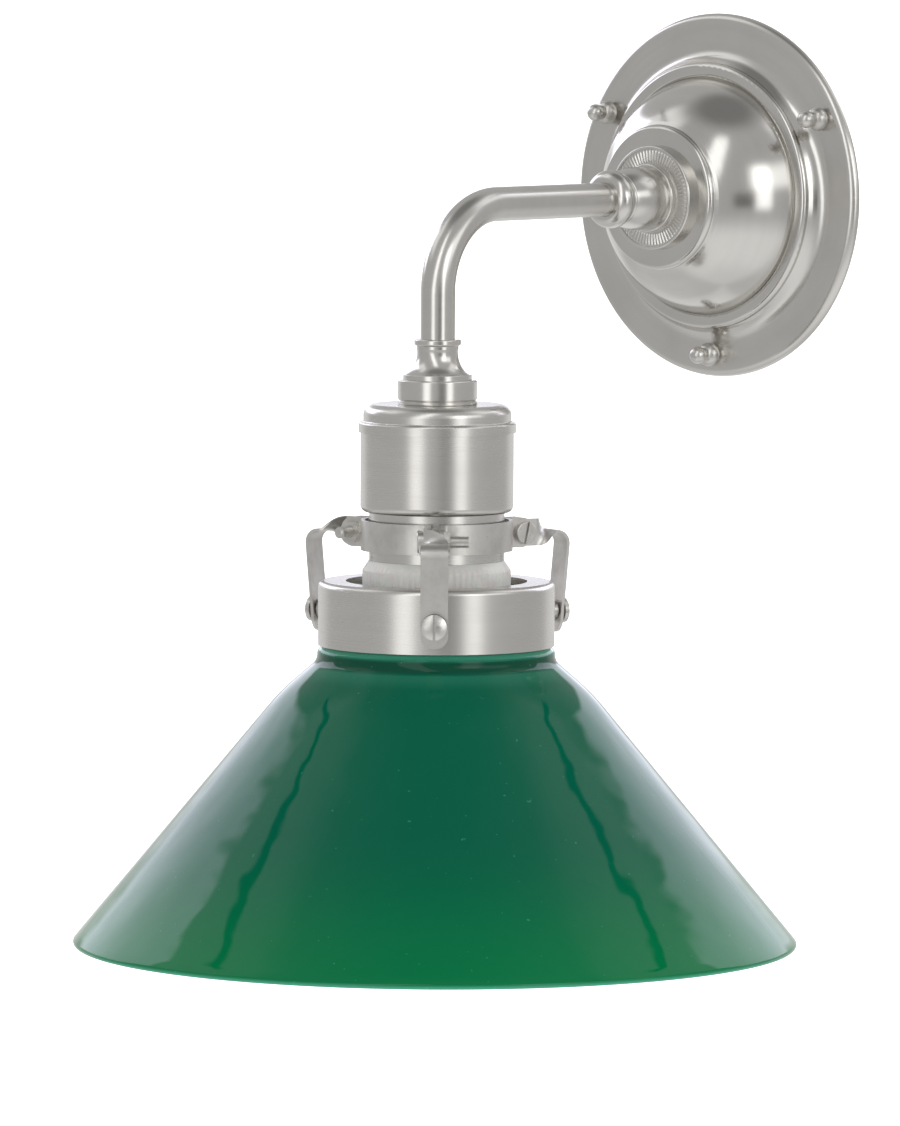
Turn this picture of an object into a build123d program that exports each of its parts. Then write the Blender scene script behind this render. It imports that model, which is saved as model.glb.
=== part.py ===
"""Gooseneck wall light: spun wall plate, swan-neck tube, lampholder and a glass cone shade.

Millimetres, +Z up. The origin is the centre of the wall plate on the wall. The light reaches
out along -Y, and the shade hangs about a vertical axis at the end of the tube.
Outlines are lists of corners (radius, height, rounding). On the wall side the height is
measured out of the wall, and on the hanging side it is the Z of the model.
"""

import os
from math import cos, pi, radians, sin, sqrt, tan

from build123d import *

# ---- driving dimensions -------------------------------------------------------------------
# clearances
slip_fit = 0.05            # between turned pieces that slide into each other
running_fit = 0.05         # radial clearance of a piece that turns on a shank
loose_fit = 0.3            # between pieces that only pass each other

# reach and swan neck
reach = 150.0              # wall to the axis of the shade
tube_radius = 6.0
tube_wall = 1.0
neck_bend = 30.0           # centre line radius of the bend

# wall plate, spun from sheet
plate_sheet = 1.0
plate_radius = 65.0
rim_straight = 0.2         # left square to the wall below the rounding of the rim
cove_inset = 3.5           # from the foot of a knob in to the cove's sharp corner
cove_width = 2.8
cove_rise = 4.2
cove_rounding = 6.0
bead_width = 4.4
bead_height = 6.6
bead_draft = 0.2
dome_edge_inset = 0.6      # from the bead in to the edge of the dome
dome_edge_drop = 0.8       # from bead or boss down to the edge of the dome
dome_top_radius = 27.0
dome_belly_radius = 36.8
dome_belly_share = 0.57    # of the height from the foot to the top of the dome
boss_radius = 25.75
boss_height = 35.2
boss_step = 2.4

# bracket on the wall and its studs
bracket_thickness = 1.6
bracket_gap = 0.4          # from the bracket to the flange that covers it
bracket_bar = 16.0
bracket_ring_width = 9.0
fixing_spacing = 50.8      # two screws into a round conduit box
fixing_hole_radius = 2.25
cable_hole_radius = 6.5
stud_inset = 8.0           # from the rim of the plate in to the studs
stud_radius = 1.5
stud_grip = 6.4            # how far a stud reaches into its knob

# ball knobs
knob_names = ["knob_right", "knob_left", "knob_bottom"]
first_knob_bearing = 30.0
knob_foot_radius = 3.3
knob_lobe_radius = 4.25
knob_lobe_height = 5.0
knob_neck_radius = 2.5
knob_neck_length = 1.3
knob_ball_radius = 3.1

# turned fittings on the arm
disc_radius = 18.5
disc_height = 3.2
disc_rim = 1.1
disc_band_inner = 12.5
disc_band_depth = 0.6
collar_length = 24.9
collar_foot_radius = 12.2
collar_foot_height = 2.0
collar_root_radius = 10.5
collar_bulge_radius = 11.2
collar_bulge_rise = 5.0
collar_waist_radius = 8.6
collar_waist_depth = 0.5
collar_waist_width = 1.6
collar_nose_radius = 10.3
collar_nose_height = 6.6
collar_nose_rise = 3.0     # from the waist to the widest place of the nose
collar_nose_edge = 1.2     # flat ring round the tube
tube_socket_depth = 17.0

# threaded tube that clamps the arm to the plate
nipple_radius = 5.0
nipple_bore = 3.4
nipple_inner_end = 27.0
thread_depth = 7.0
washer_radius = 11.0
washer_thickness = 1.5
lock_nut_flats = 14.0
lock_nut_thickness = 3.0

# wiring in the dish
block_width = 30.0
block_height = 16.0
block_depth = 13.0
block_centre_drop = 26.0
block_poles = 3
block_pole_pitch = 9.0
terminal_screw_radius = 1.7
earth_screw_rise = 30.0
earth_screw_radius = 2.0
earth_head_radius = 3.8
earth_head_height = 2.6
flex_radius = 2.2
flex_bend = 14.0
flex_entry_height = 8.5

# ferrule under the swan neck
ferrule_top = -46.0
ferrule_length = 22.5
ferrule_lip_radius = 8.15
ferrule_lip_height = 1.9
ferrule_lip_slope = 0.4
ferrule_neck_radius = 7.3
ferrule_neck_drop = 3.4    # from the top to where the neck starts to flare
ferrule_flare = 0.9        # how far the flare has opened at its own height above the step
ferrule_flare_height = 3.2
ferrule_step_radius = 11.95
ferrule_step_height = 1.8
ferrule_step_edge = 0.6
ferrule_band_radius = 13.8
ferrule_band_height = 8.5
ferrule_groove_height = 1.5
ferrule_groove_depth = 0.4
ferrule_socket_depth = 8.0

# lampholder shells
holder_sheet = 0.7
cap_radius = 25.7
cap_skirt_radius = 27.35
cap_height = 9.7
cap_rounding = 3.6
cap_skirt_height = 3.6
cover_sheet = 1.0
cover_length = 30.4
cover_overlap = 2.6
cover_rounding = 2.5
sleeve_radius = 23.5
sleeve_sheet = 1.0
sleeve_bottom = -122.7
sleeve_flange_radius = 24.1
clamp_bead_radius = 25.05
clamp_bead_height = 5.6
clamp_bead_slope = 0.8
clamp_centre = -114.0

# inside the lampholder
core_radius = 24.8
core_height = 16.0
core_neck_inset = 6.0
core_neck_height = 4.0
core_neck_draft = 1.0
core_roof = 5.0            # porcelain over the screw shell
shell_radius = 13.9
shell_sheet = 0.5
shell_length = 24.0
contact_width = 6.0
contact_sheet = 0.5
contact_half_length = 8.0
contact_drop = 3.2
contact_room = 1.0         # round the contact, in the shell's end

# white skirt ring
skirt_radius = 25.8
skirt_shoulder_height = 1.6
skirt_ledge_drop = 1.0
skirt_height = 17.3
skirt_wall = 3.0
skirt_spigot_wall = 2.0
skirt_spigot_length = 14.0

# three-piece clamp collar
clamp_height = 10.4
clamp_sheet = 1.3
clamp_lip_reach = 1.3
ear_gap = 3.0
ear_sheet = 1.4
ear_reach = 37.2
ear_end_flat = 0.8         # left straight between the two corners of an ear's end
ear_screw_circle = 32.5
ear_screw_radius = 2.0
ear_head_radius = 3.9
ear_head_height = 2.2
ear_screw_end = 11.5
ear_nut_flats = 7.0
ear_nut_thickness = 2.2
ear_slot_turn = 12.0
screw_slot = 0.9
slot_depth = 1.0

# gallery arms: straps that twist by a quarter turn and bend down to the ring
arm_count = 3
first_arm_bearing = -48.7
strap_width = 9.5
strap_sheet = 1.1
strap_start = 27.5
twist_start = 37.6
twist_end = 45.2
twist_sections = 7
strap_corner_radius = 50.5
strap_bend = 4.4
strap_lean = 5.4
strap_end_drop = 35.5
strap_end_rounding = 4.2

# gallery ring and its screws
gallery_top = -130.0
gallery_radius = 41.1
gallery_height = 22.3
gallery_sheet = 1.2
gallery_hole_radius = 31.5
gallery_rounding = 2.0
ring_screw_drop = 12.0
ring_screw_radius = 2.0
ring_screw_head_radius = 4.4
ring_screw_head_edge = 1.6
ring_screw_head_height = 2.6
ring_screw_crown_share = 0.55
ring_screw_crown_drop = 0.3
boss_tube_radius = 3.6

# glass shade
glass_wall = 3.0
shade_rim_radius = 127.4   # to the sharp corner, before the rim is ground round
shade_rim = -257.2
shade_rim_flat = 0.4       # left level between the two roundings of the rim
shade_lip_radius = 39.0
shade_lip_top = -133.0
shade_lip_overlap = 1.0    # from the lip's top down to where the wall joins it
shade_waist_radius = 36.2
shade_waist_length = 9.8
shade_collar_radius = 41.3
shade_collar_drop = 1.9
shade_collar_height = 3.6
shade_collar_draft = 0.2
shade_shoulder_radius = 54.4
shade_shoulder_drop = 14.8
shade_shoulder_rounding = 9.0

# lamp
lamp_cap_radius = 13.1
lamp_cap_length = 25.0
lamp_contact_radius = 4.4
lamp_contact_height = 1.6
lamp_cone_radius = 9.0
lamp_cone_height = 4.0
lamp_bulb_radius = 30.0
lamp_length = 107.0
lamp_cap_sheet = 0.4
lamp_seat = 4.0            # how far the glass goes into the cap
lamp_glass = 0.8
lamp_neck_sweep = 40.0     # radius of the hollow curve between neck and bulb

# ---- places worked out from the driving dimensions ----------------------------------------
flange_height = bracket_thickness + bracket_gap + plate_sheet
rim_rounding = flange_height - rim_straight
stud_circle_radius = plate_radius - stud_inset
stud_length = flange_height + stud_grip
cove_foot_radius = stud_circle_radius - knob_foot_radius - cove_inset
bead_radius = cove_foot_radius - cove_width
knob_bearings = {
    name: first_knob_bearing + 360 / len(knob_names) * step
    for step, name in enumerate(knob_names)
}
disc_face = boss_height + disc_height
nose_face = disc_face + collar_length
ferrule_foot = ferrule_top - ferrule_length
cap_skirt_top = ferrule_foot - cap_height + cap_skirt_height
cap_foot = ferrule_foot - cap_height
cover_top = cap_foot + cover_overlap
cover_foot = cover_top - cover_length
cover_radius = cap_skirt_radius - holder_sheet - slip_fit
flange_seat = cover_foot + cover_sheet
core_foot = flange_seat + sleeve_sheet
core_top = core_foot + core_height
shell_bore_top = core_top - core_roof
lamp_top = shell_bore_top - contact_drop - contact_sheet - loose_fit
clamp_inner = clamp_bead_radius + slip_fit
clamp_radius = clamp_inner + clamp_sheet
strap_offset = ear_gap / 2 + ear_sheet + strap_sheet / 2
ring_screw_height = gallery_top - ring_screw_drop
strap_at_screw = strap_corner_radius - (clamp_centre - ring_screw_height) * tan(radians(strap_lean))
strap_inner_at_screw = strap_at_screw - strap_sheet / 2 / cos(radians(strap_lean))
head_seat = strap_at_screw + strap_sheet + ring_screw_head_radius * tan(radians(strap_lean))
arm_bearings = [first_arm_bearing + 360 / arm_count * step for step in range(arm_count)]

DROP_AXIS = Axis((0, -reach, 0), (0, 0, 1))
ARM_PLANE = Plane(origin=(0, 0, 0), x_dir=(1, 0, 0), z_dir=(0, 0, -1))
DROP_PLANE = Plane(origin=(0, -reach, 0), x_dir=(1, 0, 0), z_dir=(0, -1, 0))
OUTWARD = Plane(origin=(0, 0, 0), x_dir=(0, 1, 0), z_dir=(1, 0, 0))

nodes = {}


# ---- helpers ------------------------------------------------------------------------------
def outline(corners):
    """Closed face from corners (x, y, rounding)."""
    points = [(x, y) for x, y, rounding in corners]
    roundings = [rounding for x, y, rounding in corners]
    return make_face(FilletPolyline(*points, radius=roundings, close=True))


def open_line(corners):
    """Open line through corners (x, y, rounding); the two ends have no rounding."""
    points = [(x, y) for x, y, rounding in corners]
    roundings = [rounding for x, y, rounding in corners[1:-1]]
    return FilletPolyline(*points, radius=roundings)


def sheet_face(line, thickness):
    """Section of a sheet whose outer surface is the line, run with the sheet on its right."""
    wire = Wire(line.edges())
    return Face(wire.offset_2d(thickness, side=Side.RIGHT, closed=True))


def turned_on_arm(face):
    """Turn a section about the arm's axis; y is the height out of the wall."""
    return revolve(ARM_PLANE * face, axis=Axis.Y)


def turned_on_drop(face):
    """Turn a section about the vertical axis of the shade; y is the height."""
    return revolve(DROP_PLANE * face, axis=DROP_AXIS)


def on_wall(radius, bearing, height=0.0):
    """Place on the wall plate, looking out of the wall, with local Z out of the wall."""
    x = radius * cos(radians(bearing))
    z = radius * sin(radians(bearing))
    return Plane(origin=(x, -height, z), x_dir=(1, 0, 0), z_dir=(0, -1, 0))


def at_bearing(bearing, height=0.0):
    """Frame on the vertical axis whose X points along the bearing."""
    return Location((0, -reach, height)) * Rotation(0, 0, bearing)


def cylinder_along(start, end, radius, axis_place):
    """Cylinder on the local Z of a place, from start to end."""
    place = axis_place * Location((0, 0, start))
    return place * Cylinder(radius, end - start, align=(Align.CENTER, Align.CENTER, Align.MIN))


def hexagon_radius(flats):
    """Corner radius of a hexagon from its width across flats."""
    return flats / sqrt(3)


# ---- on the wall --------------------------------------------------------------------------
def make_bracket():
    """Ring and cross of flat steel that is screwed to the wall and carries the studs."""
    ring_outer = plate_radius - rim_rounding - loose_fit
    ring = Circle(ring_outer) - Circle(ring_outer - bracket_ring_width)
    bars = Rectangle(2 * ring_outer - bracket_ring_width, bracket_bar)
    bars += Rectangle(bracket_bar, 2 * ring_outer - bracket_ring_width)
    plan = ring + bars - Circle(cable_hole_radius)
    for side in (-1, 1):
        plan -= Pos(side * fixing_spacing / 2, 0) * Circle(fixing_hole_radius)
    for bearing in knob_bearings.values():
        x = stud_circle_radius * cos(radians(bearing))
        y = stud_circle_radius * sin(radians(bearing))
        plan -= Pos(x, y) * Circle(stud_radius)
    plan -= Pos(0, earth_screw_rise) * Circle(earth_screw_radius)
    nodes["wall_bracket"] = extrude(on_wall(0, 0) * plan, bracket_thickness)
    studs = [
        cylinder_along(0, stud_length, stud_radius, on_wall(stud_circle_radius, bearing))
        for bearing in knob_bearings.values()
    ]
    nodes["fixing_studs"] = Compound(children=studs)


def make_plate():
    """Spun plate: turned-back rim, flat flange, cove and bead, bell-shaped dome and a boss."""
    bead_top = flange_height + bead_height
    bead_inner = bead_radius - bead_width
    dome_foot_radius = bead_inner - dome_edge_inset
    dome_foot = bead_top - dome_edge_drop
    boss_foot = boss_height - boss_step
    dome_top = boss_foot - dome_edge_drop
    belly_height = dome_foot + dome_belly_share * (dome_top - dome_foot)
    boss = open_line([
        (nipple_radius + slip_fit, boss_height, 0),
        (boss_radius, boss_height, 1.7),
        (boss_radius, boss_foot, 0.5),
        (dome_top_radius, dome_top, 0),
    ])
    dome = ThreePointArc(
        (dome_top_radius, dome_top),
        (dome_belly_radius, belly_height),
        (dome_foot_radius, dome_foot),
    )
    flange = open_line([
        (dome_foot_radius, dome_foot, 0),
        (bead_inner, bead_top, 1.2),
        (bead_radius, bead_top, 1.6),
        (bead_radius + bead_draft, flange_height + cove_rise, 0.5),
        (cove_foot_radius, flange_height, cove_rounding),
        (plate_radius, flange_height, rim_rounding),
        (plate_radius, 0, 0),
    ])
    skin = Curve() + [boss, dome, flange]
    plate = turned_on_arm(sheet_face(skin, plate_sheet))
    for bearing in knob_bearings.values():
        place = on_wall(stud_circle_radius, bearing)
        plate -= cylinder_along(0, boss_height, stud_radius + loose_fit, place)
    nodes["wall_plate"] = plate


def knob_shape():
    """Turned knob on local Z: a full lobe, a short neck and a ball, with a blind bore."""
    bore = stud_radius + running_fit
    bore_end = stud_grip + loose_fit
    neck_meets_ball = knob_lobe_height + knob_neck_length
    ball_centre = neck_meets_ball + sqrt(knob_ball_radius**2 - knob_neck_radius**2)
    knob_height = ball_centre + knob_ball_radius
    side = Curve() + [
        Line((bore, 0), (knob_foot_radius, 0)),
        ThreePointArc(
            (knob_foot_radius, 0),
            (knob_lobe_radius, knob_lobe_height / 2),
            (knob_neck_radius, knob_lobe_height),
        ),
        Line((knob_neck_radius, knob_lobe_height), (knob_neck_radius, neck_meets_ball)),
        ThreePointArc(
            (knob_neck_radius, neck_meets_ball),
            (knob_ball_radius, ball_centre),
            (0, knob_height),
        ),
        Polyline((0, knob_height), (0, bore_end), (bore, bore_end), (bore, 0)),
    ]
    return revolve(Plane.XZ * make_face(side), axis=Axis.Z)


def make_knobs():
    """Three ball knobs that hold the plate to the studs."""
    knob = knob_shape()
    for name, bearing in knob_bearings.items():
        place = on_wall(stud_circle_radius, bearing, flange_height + slip_fit)
        nodes[name] = place * knob


def make_terminal_block():
    """Three-pole block on the lower bar, its screws and the earth screw on the upper bar."""
    block_back = bracket_thickness
    centre = Plane(origin=(0, -block_back, -block_centre_drop), x_dir=(1, 0, 0), z_dir=(0, -1, 0))
    low = (Align.CENTER, Align.CENTER, Align.MIN)
    block = centre * Box(block_width, block_height, block_depth, align=low)
    screws = []
    for pole in range(block_poles):
        across = (pole - (block_poles - 1) / 2) * block_pole_pitch
        for row in (-1, 1):
            well = centre * Location((across, row * block_height / 4, block_depth / 2))
            block -= well * Cylinder(terminal_screw_radius, block_depth, align=low)
            screws.append(well * Cylinder(terminal_screw_radius, block_depth / 3, align=low))
    nodes["terminal_block"] = chamfer(block.edges().filter_by(Axis.Y), 1.0)
    nodes["terminal_screws"] = Compound(children=screws)
    place = on_wall(earth_screw_rise, 90)
    head_top = bracket_thickness + earth_head_height
    earth = cylinder_along(0, bracket_thickness, earth_screw_radius, place)
    earth += cylinder_along(bracket_thickness, head_top, earth_head_radius, place)
    slot = Box(3 * earth_head_radius, screw_slot, 2 * slot_depth)
    earth -= place * Location((0, 0, head_top)) * slot
    nodes["earth_screw"] = earth


def make_arm_clamp():
    """Hollow threaded tube with its washer and lock nut behind the plate."""
    plate_back = boss_height - plate_sheet
    bore = nipple_radius + slip_fit
    nut_outer = plate_back - washer_thickness
    nut_inner = nut_outer - lock_nut_thickness
    nodes["arm_nipple"] = turned_on_arm(outline([
        (nipple_bore, nipple_inner_end, 0),
        (nipple_radius, nipple_inner_end, 0),
        (nipple_radius, disc_face + thread_depth, 0),
        (nipple_bore, disc_face + thread_depth, 0),
    ]))
    nodes["back_washer"] = turned_on_arm(outline([
        (bore, nut_outer, 0),
        (washer_radius, nut_outer, 0.3),
        (washer_radius, plate_back, 0.3),
        (bore, plate_back, 0),
    ]))
    nut_plan = RegularPolygon(hexagon_radius(lock_nut_flats), 6) - Circle(bore)
    nodes["back_nut"] = extrude(on_wall(0, 0, nut_inner) * nut_plan, lock_nut_thickness)


# ---- arm ----------------------------------------------------------------------------------
def make_boss_disc():
    """Disc in front of the plate with a raised rim round a sunk band."""
    bore = nipple_radius + slip_fit
    band = disc_face - disc_band_depth
    nodes["boss_disc"] = turned_on_arm(outline([
        (bore, boss_height, 0),
        (disc_radius, boss_height, 0),
        (disc_radius, disc_face, 0.6),
        (disc_radius - disc_rim, disc_face, 0.3),
        (disc_radius - disc_rim, band, 0.2),
        (disc_band_inner, band, 0.2),
        (disc_band_inner, disc_face, 0.1),
        (bore, disc_face, 0),
    ]))


def make_arm_collar():
    """Turned collar: foot ring, pear-shaped body, waist groove and the nose round the tube."""
    socket = tube_radius + slip_fit
    thread = nipple_radius + slip_fit
    nose_edge = socket + collar_nose_edge
    foot_top = disc_face + collar_foot_height
    waist_top = nose_face - collar_nose_height
    waist_foot = waist_top - collar_waist_width
    waist_edge = collar_waist_radius + collar_waist_depth
    outside = Curve() + [
        open_line([
            (thread, disc_face, 0),
            (collar_foot_radius, disc_face, 0),
            (collar_foot_radius, foot_top, 0.7),
            (collar_root_radius, foot_top, 0),
        ]),
        ThreePointArc(
            (collar_root_radius, foot_top),
            (collar_bulge_radius, foot_top + collar_bulge_rise),
            (waist_edge, waist_foot),
        ),
        ThreePointArc(
            (waist_edge, waist_foot),
            (collar_waist_radius, (waist_foot + waist_top) / 2),
            (waist_edge, waist_top),
        ),
        ThreePointArc(
            (waist_edge, waist_top),
            (collar_nose_radius, waist_top + collar_nose_rise),
            (nose_edge, nose_face),
        ),
        Polyline(
            (nose_edge, nose_face),
            (socket, nose_face),
            (socket, nose_face - tube_socket_depth),
            (thread, nose_face - tube_socket_depth),
            (thread, disc_face),
        ),
    ]
    nodes["arm_collar"] = turned_on_arm(make_face(outside))


def neck_path(start_height, end_z):
    """Centre line of the swan neck from a height out of the wall down to a level."""
    straight = Line((0, -start_height, 0), (0, neck_bend - reach, 0))
    bend = TangentArc((0, neck_bend - reach, 0), (0, -reach, -neck_bend), tangent=(0, -1, 0))
    drop = Line((0, -reach, -neck_bend), (0, -reach, end_z))
    return straight, bend, drop


def make_swan_neck():
    """Bent tube from the collar to the ferrule."""
    start = nose_face - tube_socket_depth
    path = Wire([part.edge() for part in neck_path(start, ferrule_top - ferrule_socket_depth)])
    ring = Circle(tube_radius) - Circle(tube_radius - tube_wall)
    place = Plane(origin=(0, -start, 0), x_dir=(1, 0, 0), z_dir=(0, -1, 0))
    nodes["swan_neck"] = sweep(place * ring, path=path)


def make_flex():
    """Round flex from the terminal block through the tube to the lampholder."""
    block_top = block_height / 2 - block_centre_drop
    turn_out = flex_entry_height + flex_bend
    rise = Line((0, -flex_entry_height, block_top), (0, -flex_entry_height, -flex_bend))
    corner = TangentArc(
        (0, -flex_entry_height, -flex_bend), (0, -turn_out, 0), tangent=(0, 0, 1)
    )
    path = Wire([part.edge() for part in (rise, corner, *neck_path(turn_out, core_top))])
    place = Plane(origin=(0, -flex_entry_height, block_top), z_dir=(0, 0, 1))
    flex = sweep(place * Circle(flex_radius), path=path)
    nodes["inner_flex"] = flex
    section = pi * flex_radius**2
    print("flex length", round(path.length, 1), "bend radii", flex_bend, neck_bend,
          "volume over section times length", round(flex.volume / section / path.length, 4))


def make_ferrule():
    """Turned ferrule: lip, concave neck, step and a plain band, with the tube's socket."""
    socket = tube_radius + slip_fit
    thread = nipple_radius + slip_fit
    band_top = ferrule_foot + ferrule_band_height
    step_top = band_top + ferrule_step_height
    step_edge = ferrule_step_radius - ferrule_step_edge
    lip_foot = ferrule_top - ferrule_lip_height
    neck_top = ferrule_top - ferrule_neck_drop
    groove = ferrule_foot + ferrule_groove_height
    outside = Curve() + [
        open_line([
            (socket, ferrule_top, 0),
            (ferrule_lip_radius, ferrule_top, 0.5),
            (ferrule_lip_radius, lip_foot, 0.5),
            (ferrule_neck_radius, lip_foot - ferrule_lip_slope, 0.2),
            (ferrule_neck_radius, neck_top, 0),
        ]),
        ThreePointArc(
            (ferrule_neck_radius, neck_top),
            (ferrule_neck_radius + ferrule_flare, step_top + ferrule_flare_height),
            (step_edge, step_top),
        ),
        open_line([
            (step_edge, step_top, 0),
            (ferrule_step_radius, step_top, 0.2),
            (ferrule_step_radius, band_top, 0),
            (ferrule_band_radius, band_top, 0.5),
            (ferrule_band_radius, groove + ferrule_groove_depth, 0),
            (ferrule_band_radius - ferrule_groove_depth, groove, 0),
            (ferrule_band_radius, groove - ferrule_groove_depth, 0),
            (ferrule_band_radius, ferrule_foot, 0.3),
            (thread, ferrule_foot, 0),
            (thread, ferrule_top - ferrule_socket_depth, 0),
            (socket, ferrule_top - ferrule_socket_depth, 0),
            (socket, ferrule_top, 0),
        ]),
    ]
    nodes["ferrule"] = turned_on_drop(make_face(outside))


# ---- lampholder ---------------------------------------------------------------------------
def make_holder_shells():
    """Cap with a rolled skirt, the cylindrical cover and the sleeve below it."""
    bore = nipple_radius + slip_fit
    nodes["holder_cap"] = turned_on_drop(sheet_face(open_line([
        (bore, ferrule_foot, 0),
        (cap_radius, ferrule_foot, cap_rounding),
        (cap_radius, cap_skirt_top, 0.4),
        (cap_skirt_radius, cap_skirt_top, 0.8),
        (cap_skirt_radius, cap_foot, 0),
    ]), holder_sheet))
    nodes["holder_cover"] = turned_on_drop(sheet_face(open_line([
        (cover_radius, cover_top, 0),
        (cover_radius, cover_foot, cover_rounding),
        (sleeve_radius + 2 * slip_fit, cover_foot, 0),
    ]), cover_sheet))
    bead_top = clamp_centre + clamp_bead_height / 2
    bead_foot = clamp_centre - clamp_bead_height / 2
    nodes["holder_sleeve"] = turned_on_drop(sheet_face(open_line([
        (sleeve_flange_radius, flange_seat, 0),
        (sleeve_radius, flange_seat, 0),
        (sleeve_radius, bead_top + clamp_bead_slope, 0.4),
        (clamp_bead_radius, bead_top, 0.4),
        (clamp_bead_radius, bead_foot, 0.4),
        (sleeve_radius, bead_foot - clamp_bead_slope, 0.4),
        (sleeve_radius, sleeve_bottom, 0),
    ]), sleeve_sheet))


def make_holder_fixing():
    """Short threaded tube between ferrule and cap, with its nut inside the cap."""
    top = ferrule_top - ferrule_socket_depth
    under_cap = ferrule_foot - holder_sheet
    nut_foot = under_cap - lock_nut_thickness
    nodes["lower_nipple"] = turned_on_drop(outline([
        (nipple_bore, top, 0),
        (nipple_radius, top, 0),
        (nipple_radius, nut_foot - 2.0, 0),
        (nipple_bore, nut_foot - 2.0, 0),
    ]))
    nut_plan = RegularPolygon(hexagon_radius(lock_nut_flats), 6)
    nut_plan -= Circle(nipple_radius + slip_fit)
    nodes["cap_nut"] = extrude(Location((0, -reach, nut_foot)) * nut_plan, lock_nut_thickness)


def make_holder_core():
    """Porcelain core with the screw shell and the sprung centre contact."""
    bore = shell_radius + loose_fit
    neck_radius = core_radius - core_neck_inset
    neck_foot = core_top - core_neck_height
    nodes["lampholder_core"] = turned_on_drop(outline([
        (0, core_top, 0),
        (neck_radius, core_top, 1.0),
        (neck_radius + core_neck_draft, neck_foot, 0.5),
        (core_radius, neck_foot, 0.8),
        (core_radius, core_foot, 0.3),
        (bore, core_foot, 0.3),
        (bore, shell_bore_top, 0),
        (0, shell_bore_top, 0),
    ]))
    hole = contact_half_length + contact_room
    nodes["screw_shell"] = turned_on_drop(sheet_face(open_line([
        (hole, shell_bore_top, 0),
        (shell_radius, shell_bore_top, 0.6),
        (shell_radius, shell_bore_top - shell_length, 0),
    ]), shell_sheet))
    half = contact_half_length
    leaf = open_line([
        (-half, shell_bore_top, 0),
        (half / 2, shell_bore_top, 0.6),
        (half / 2, shell_bore_top - contact_drop, 0.6),
        (-half / 2, shell_bore_top - contact_drop, 0),
    ])
    section = sheet_face(leaf, contact_sheet)
    nodes["centre_contact"] = extrude(DROP_PLANE * section, contact_width / 2, both=True)


def make_skirt_ring():
    """White ribbed ring under the sleeve, with a spigot that goes up into it."""
    foot = sleeve_bottom - skirt_height
    spigot = sleeve_radius - sleeve_sheet - 2 * slip_fit
    inner = skirt_radius - skirt_wall
    nodes["skirt_ring"] = turned_on_drop(outline([
        (spigot - skirt_spigot_wall, sleeve_bottom + skirt_spigot_length, 0),
        (spigot, sleeve_bottom + skirt_spigot_length, 0.4),
        (spigot, sleeve_bottom, 0),
        (sleeve_radius, sleeve_bottom, 0.3),
        (skirt_radius, sleeve_bottom - skirt_shoulder_height, 0.8),
        (skirt_radius, foot, 0.8),
        (inner, foot, 0.8),
        (inner, sleeve_bottom - skirt_shoulder_height, 1.0),
        (spigot - skirt_spigot_wall, sleeve_bottom - skirt_ledge_drop, 0.5),
    ]))


# ---- gallery ------------------------------------------------------------------------------
def clamp_half():
    """Half of one clamp segment: a band with an inward lip that ends in an out-turned ear.

    The arm that the ear belongs to lies along local X, and the band runs back from it by
    half of the pitch between arms.
    """
    half_pitch = radians(180 / arm_count)
    far = 3 * clamp_radius
    wedge = make_face(Polyline(
        (0, 0), (far, 0), (far * cos(half_pitch), -far * sin(half_pitch)), close=True
    ))
    gap = Rectangle(2 * far, ear_gap)
    ear_root = (clamp_inner + clamp_radius) / 2
    ear = Pos(ear_root, -ear_gap / 2) * Rectangle(
        ear_reach - ear_root, ear_sheet, align=(Align.MIN, Align.MAX)
    )
    plan = (Circle(clamp_radius) - Circle(clamp_inner)) & wedge
    plan = (plan - gap) + ear
    root_y = -ear_gap / 2 - ear_sheet
    root = (sqrt(clamp_radius**2 - root_y**2), root_y, 0)
    plan = fillet(plan.vertices().sort_by_distance(root)[0], ear_sheet)
    half = extrude(plan, clamp_height / 2, both=True)
    end_face = half.faces().sort_by(Axis.X)[-1]
    half = fillet(end_face.edges().filter_by(Axis.Y), (clamp_height - ear_end_flat) / 2)
    lip_plan = (Circle(ear_root) - Circle(clamp_inner - clamp_lip_reach)) & wedge
    lip = Location((0, 0, -clamp_height / 2)) * extrude(lip_plan - gap, clamp_sheet)
    half += lip
    hole = Cylinder(ear_screw_radius + slip_fit, 4 * ear_gap, rotation=(90, 0, 0))
    half -= Location((ear_screw_circle, 0, 0)) * hole
    return half


def make_clamp():
    """Three clamp segments round the sleeve's bead."""
    half = clamp_half()
    mirror_bearing = radians(-180 / arm_count)
    middle = Plane(origin=(0, 0, 0), z_dir=(-sin(mirror_bearing), cos(mirror_bearing), 0))
    segment = half + mirror(half, about=middle)
    for number, bearing in enumerate(arm_bearings, start=1):
        nodes[f"collar_segment_{number}"] = at_bearing(bearing, clamp_centre) * segment


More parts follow.
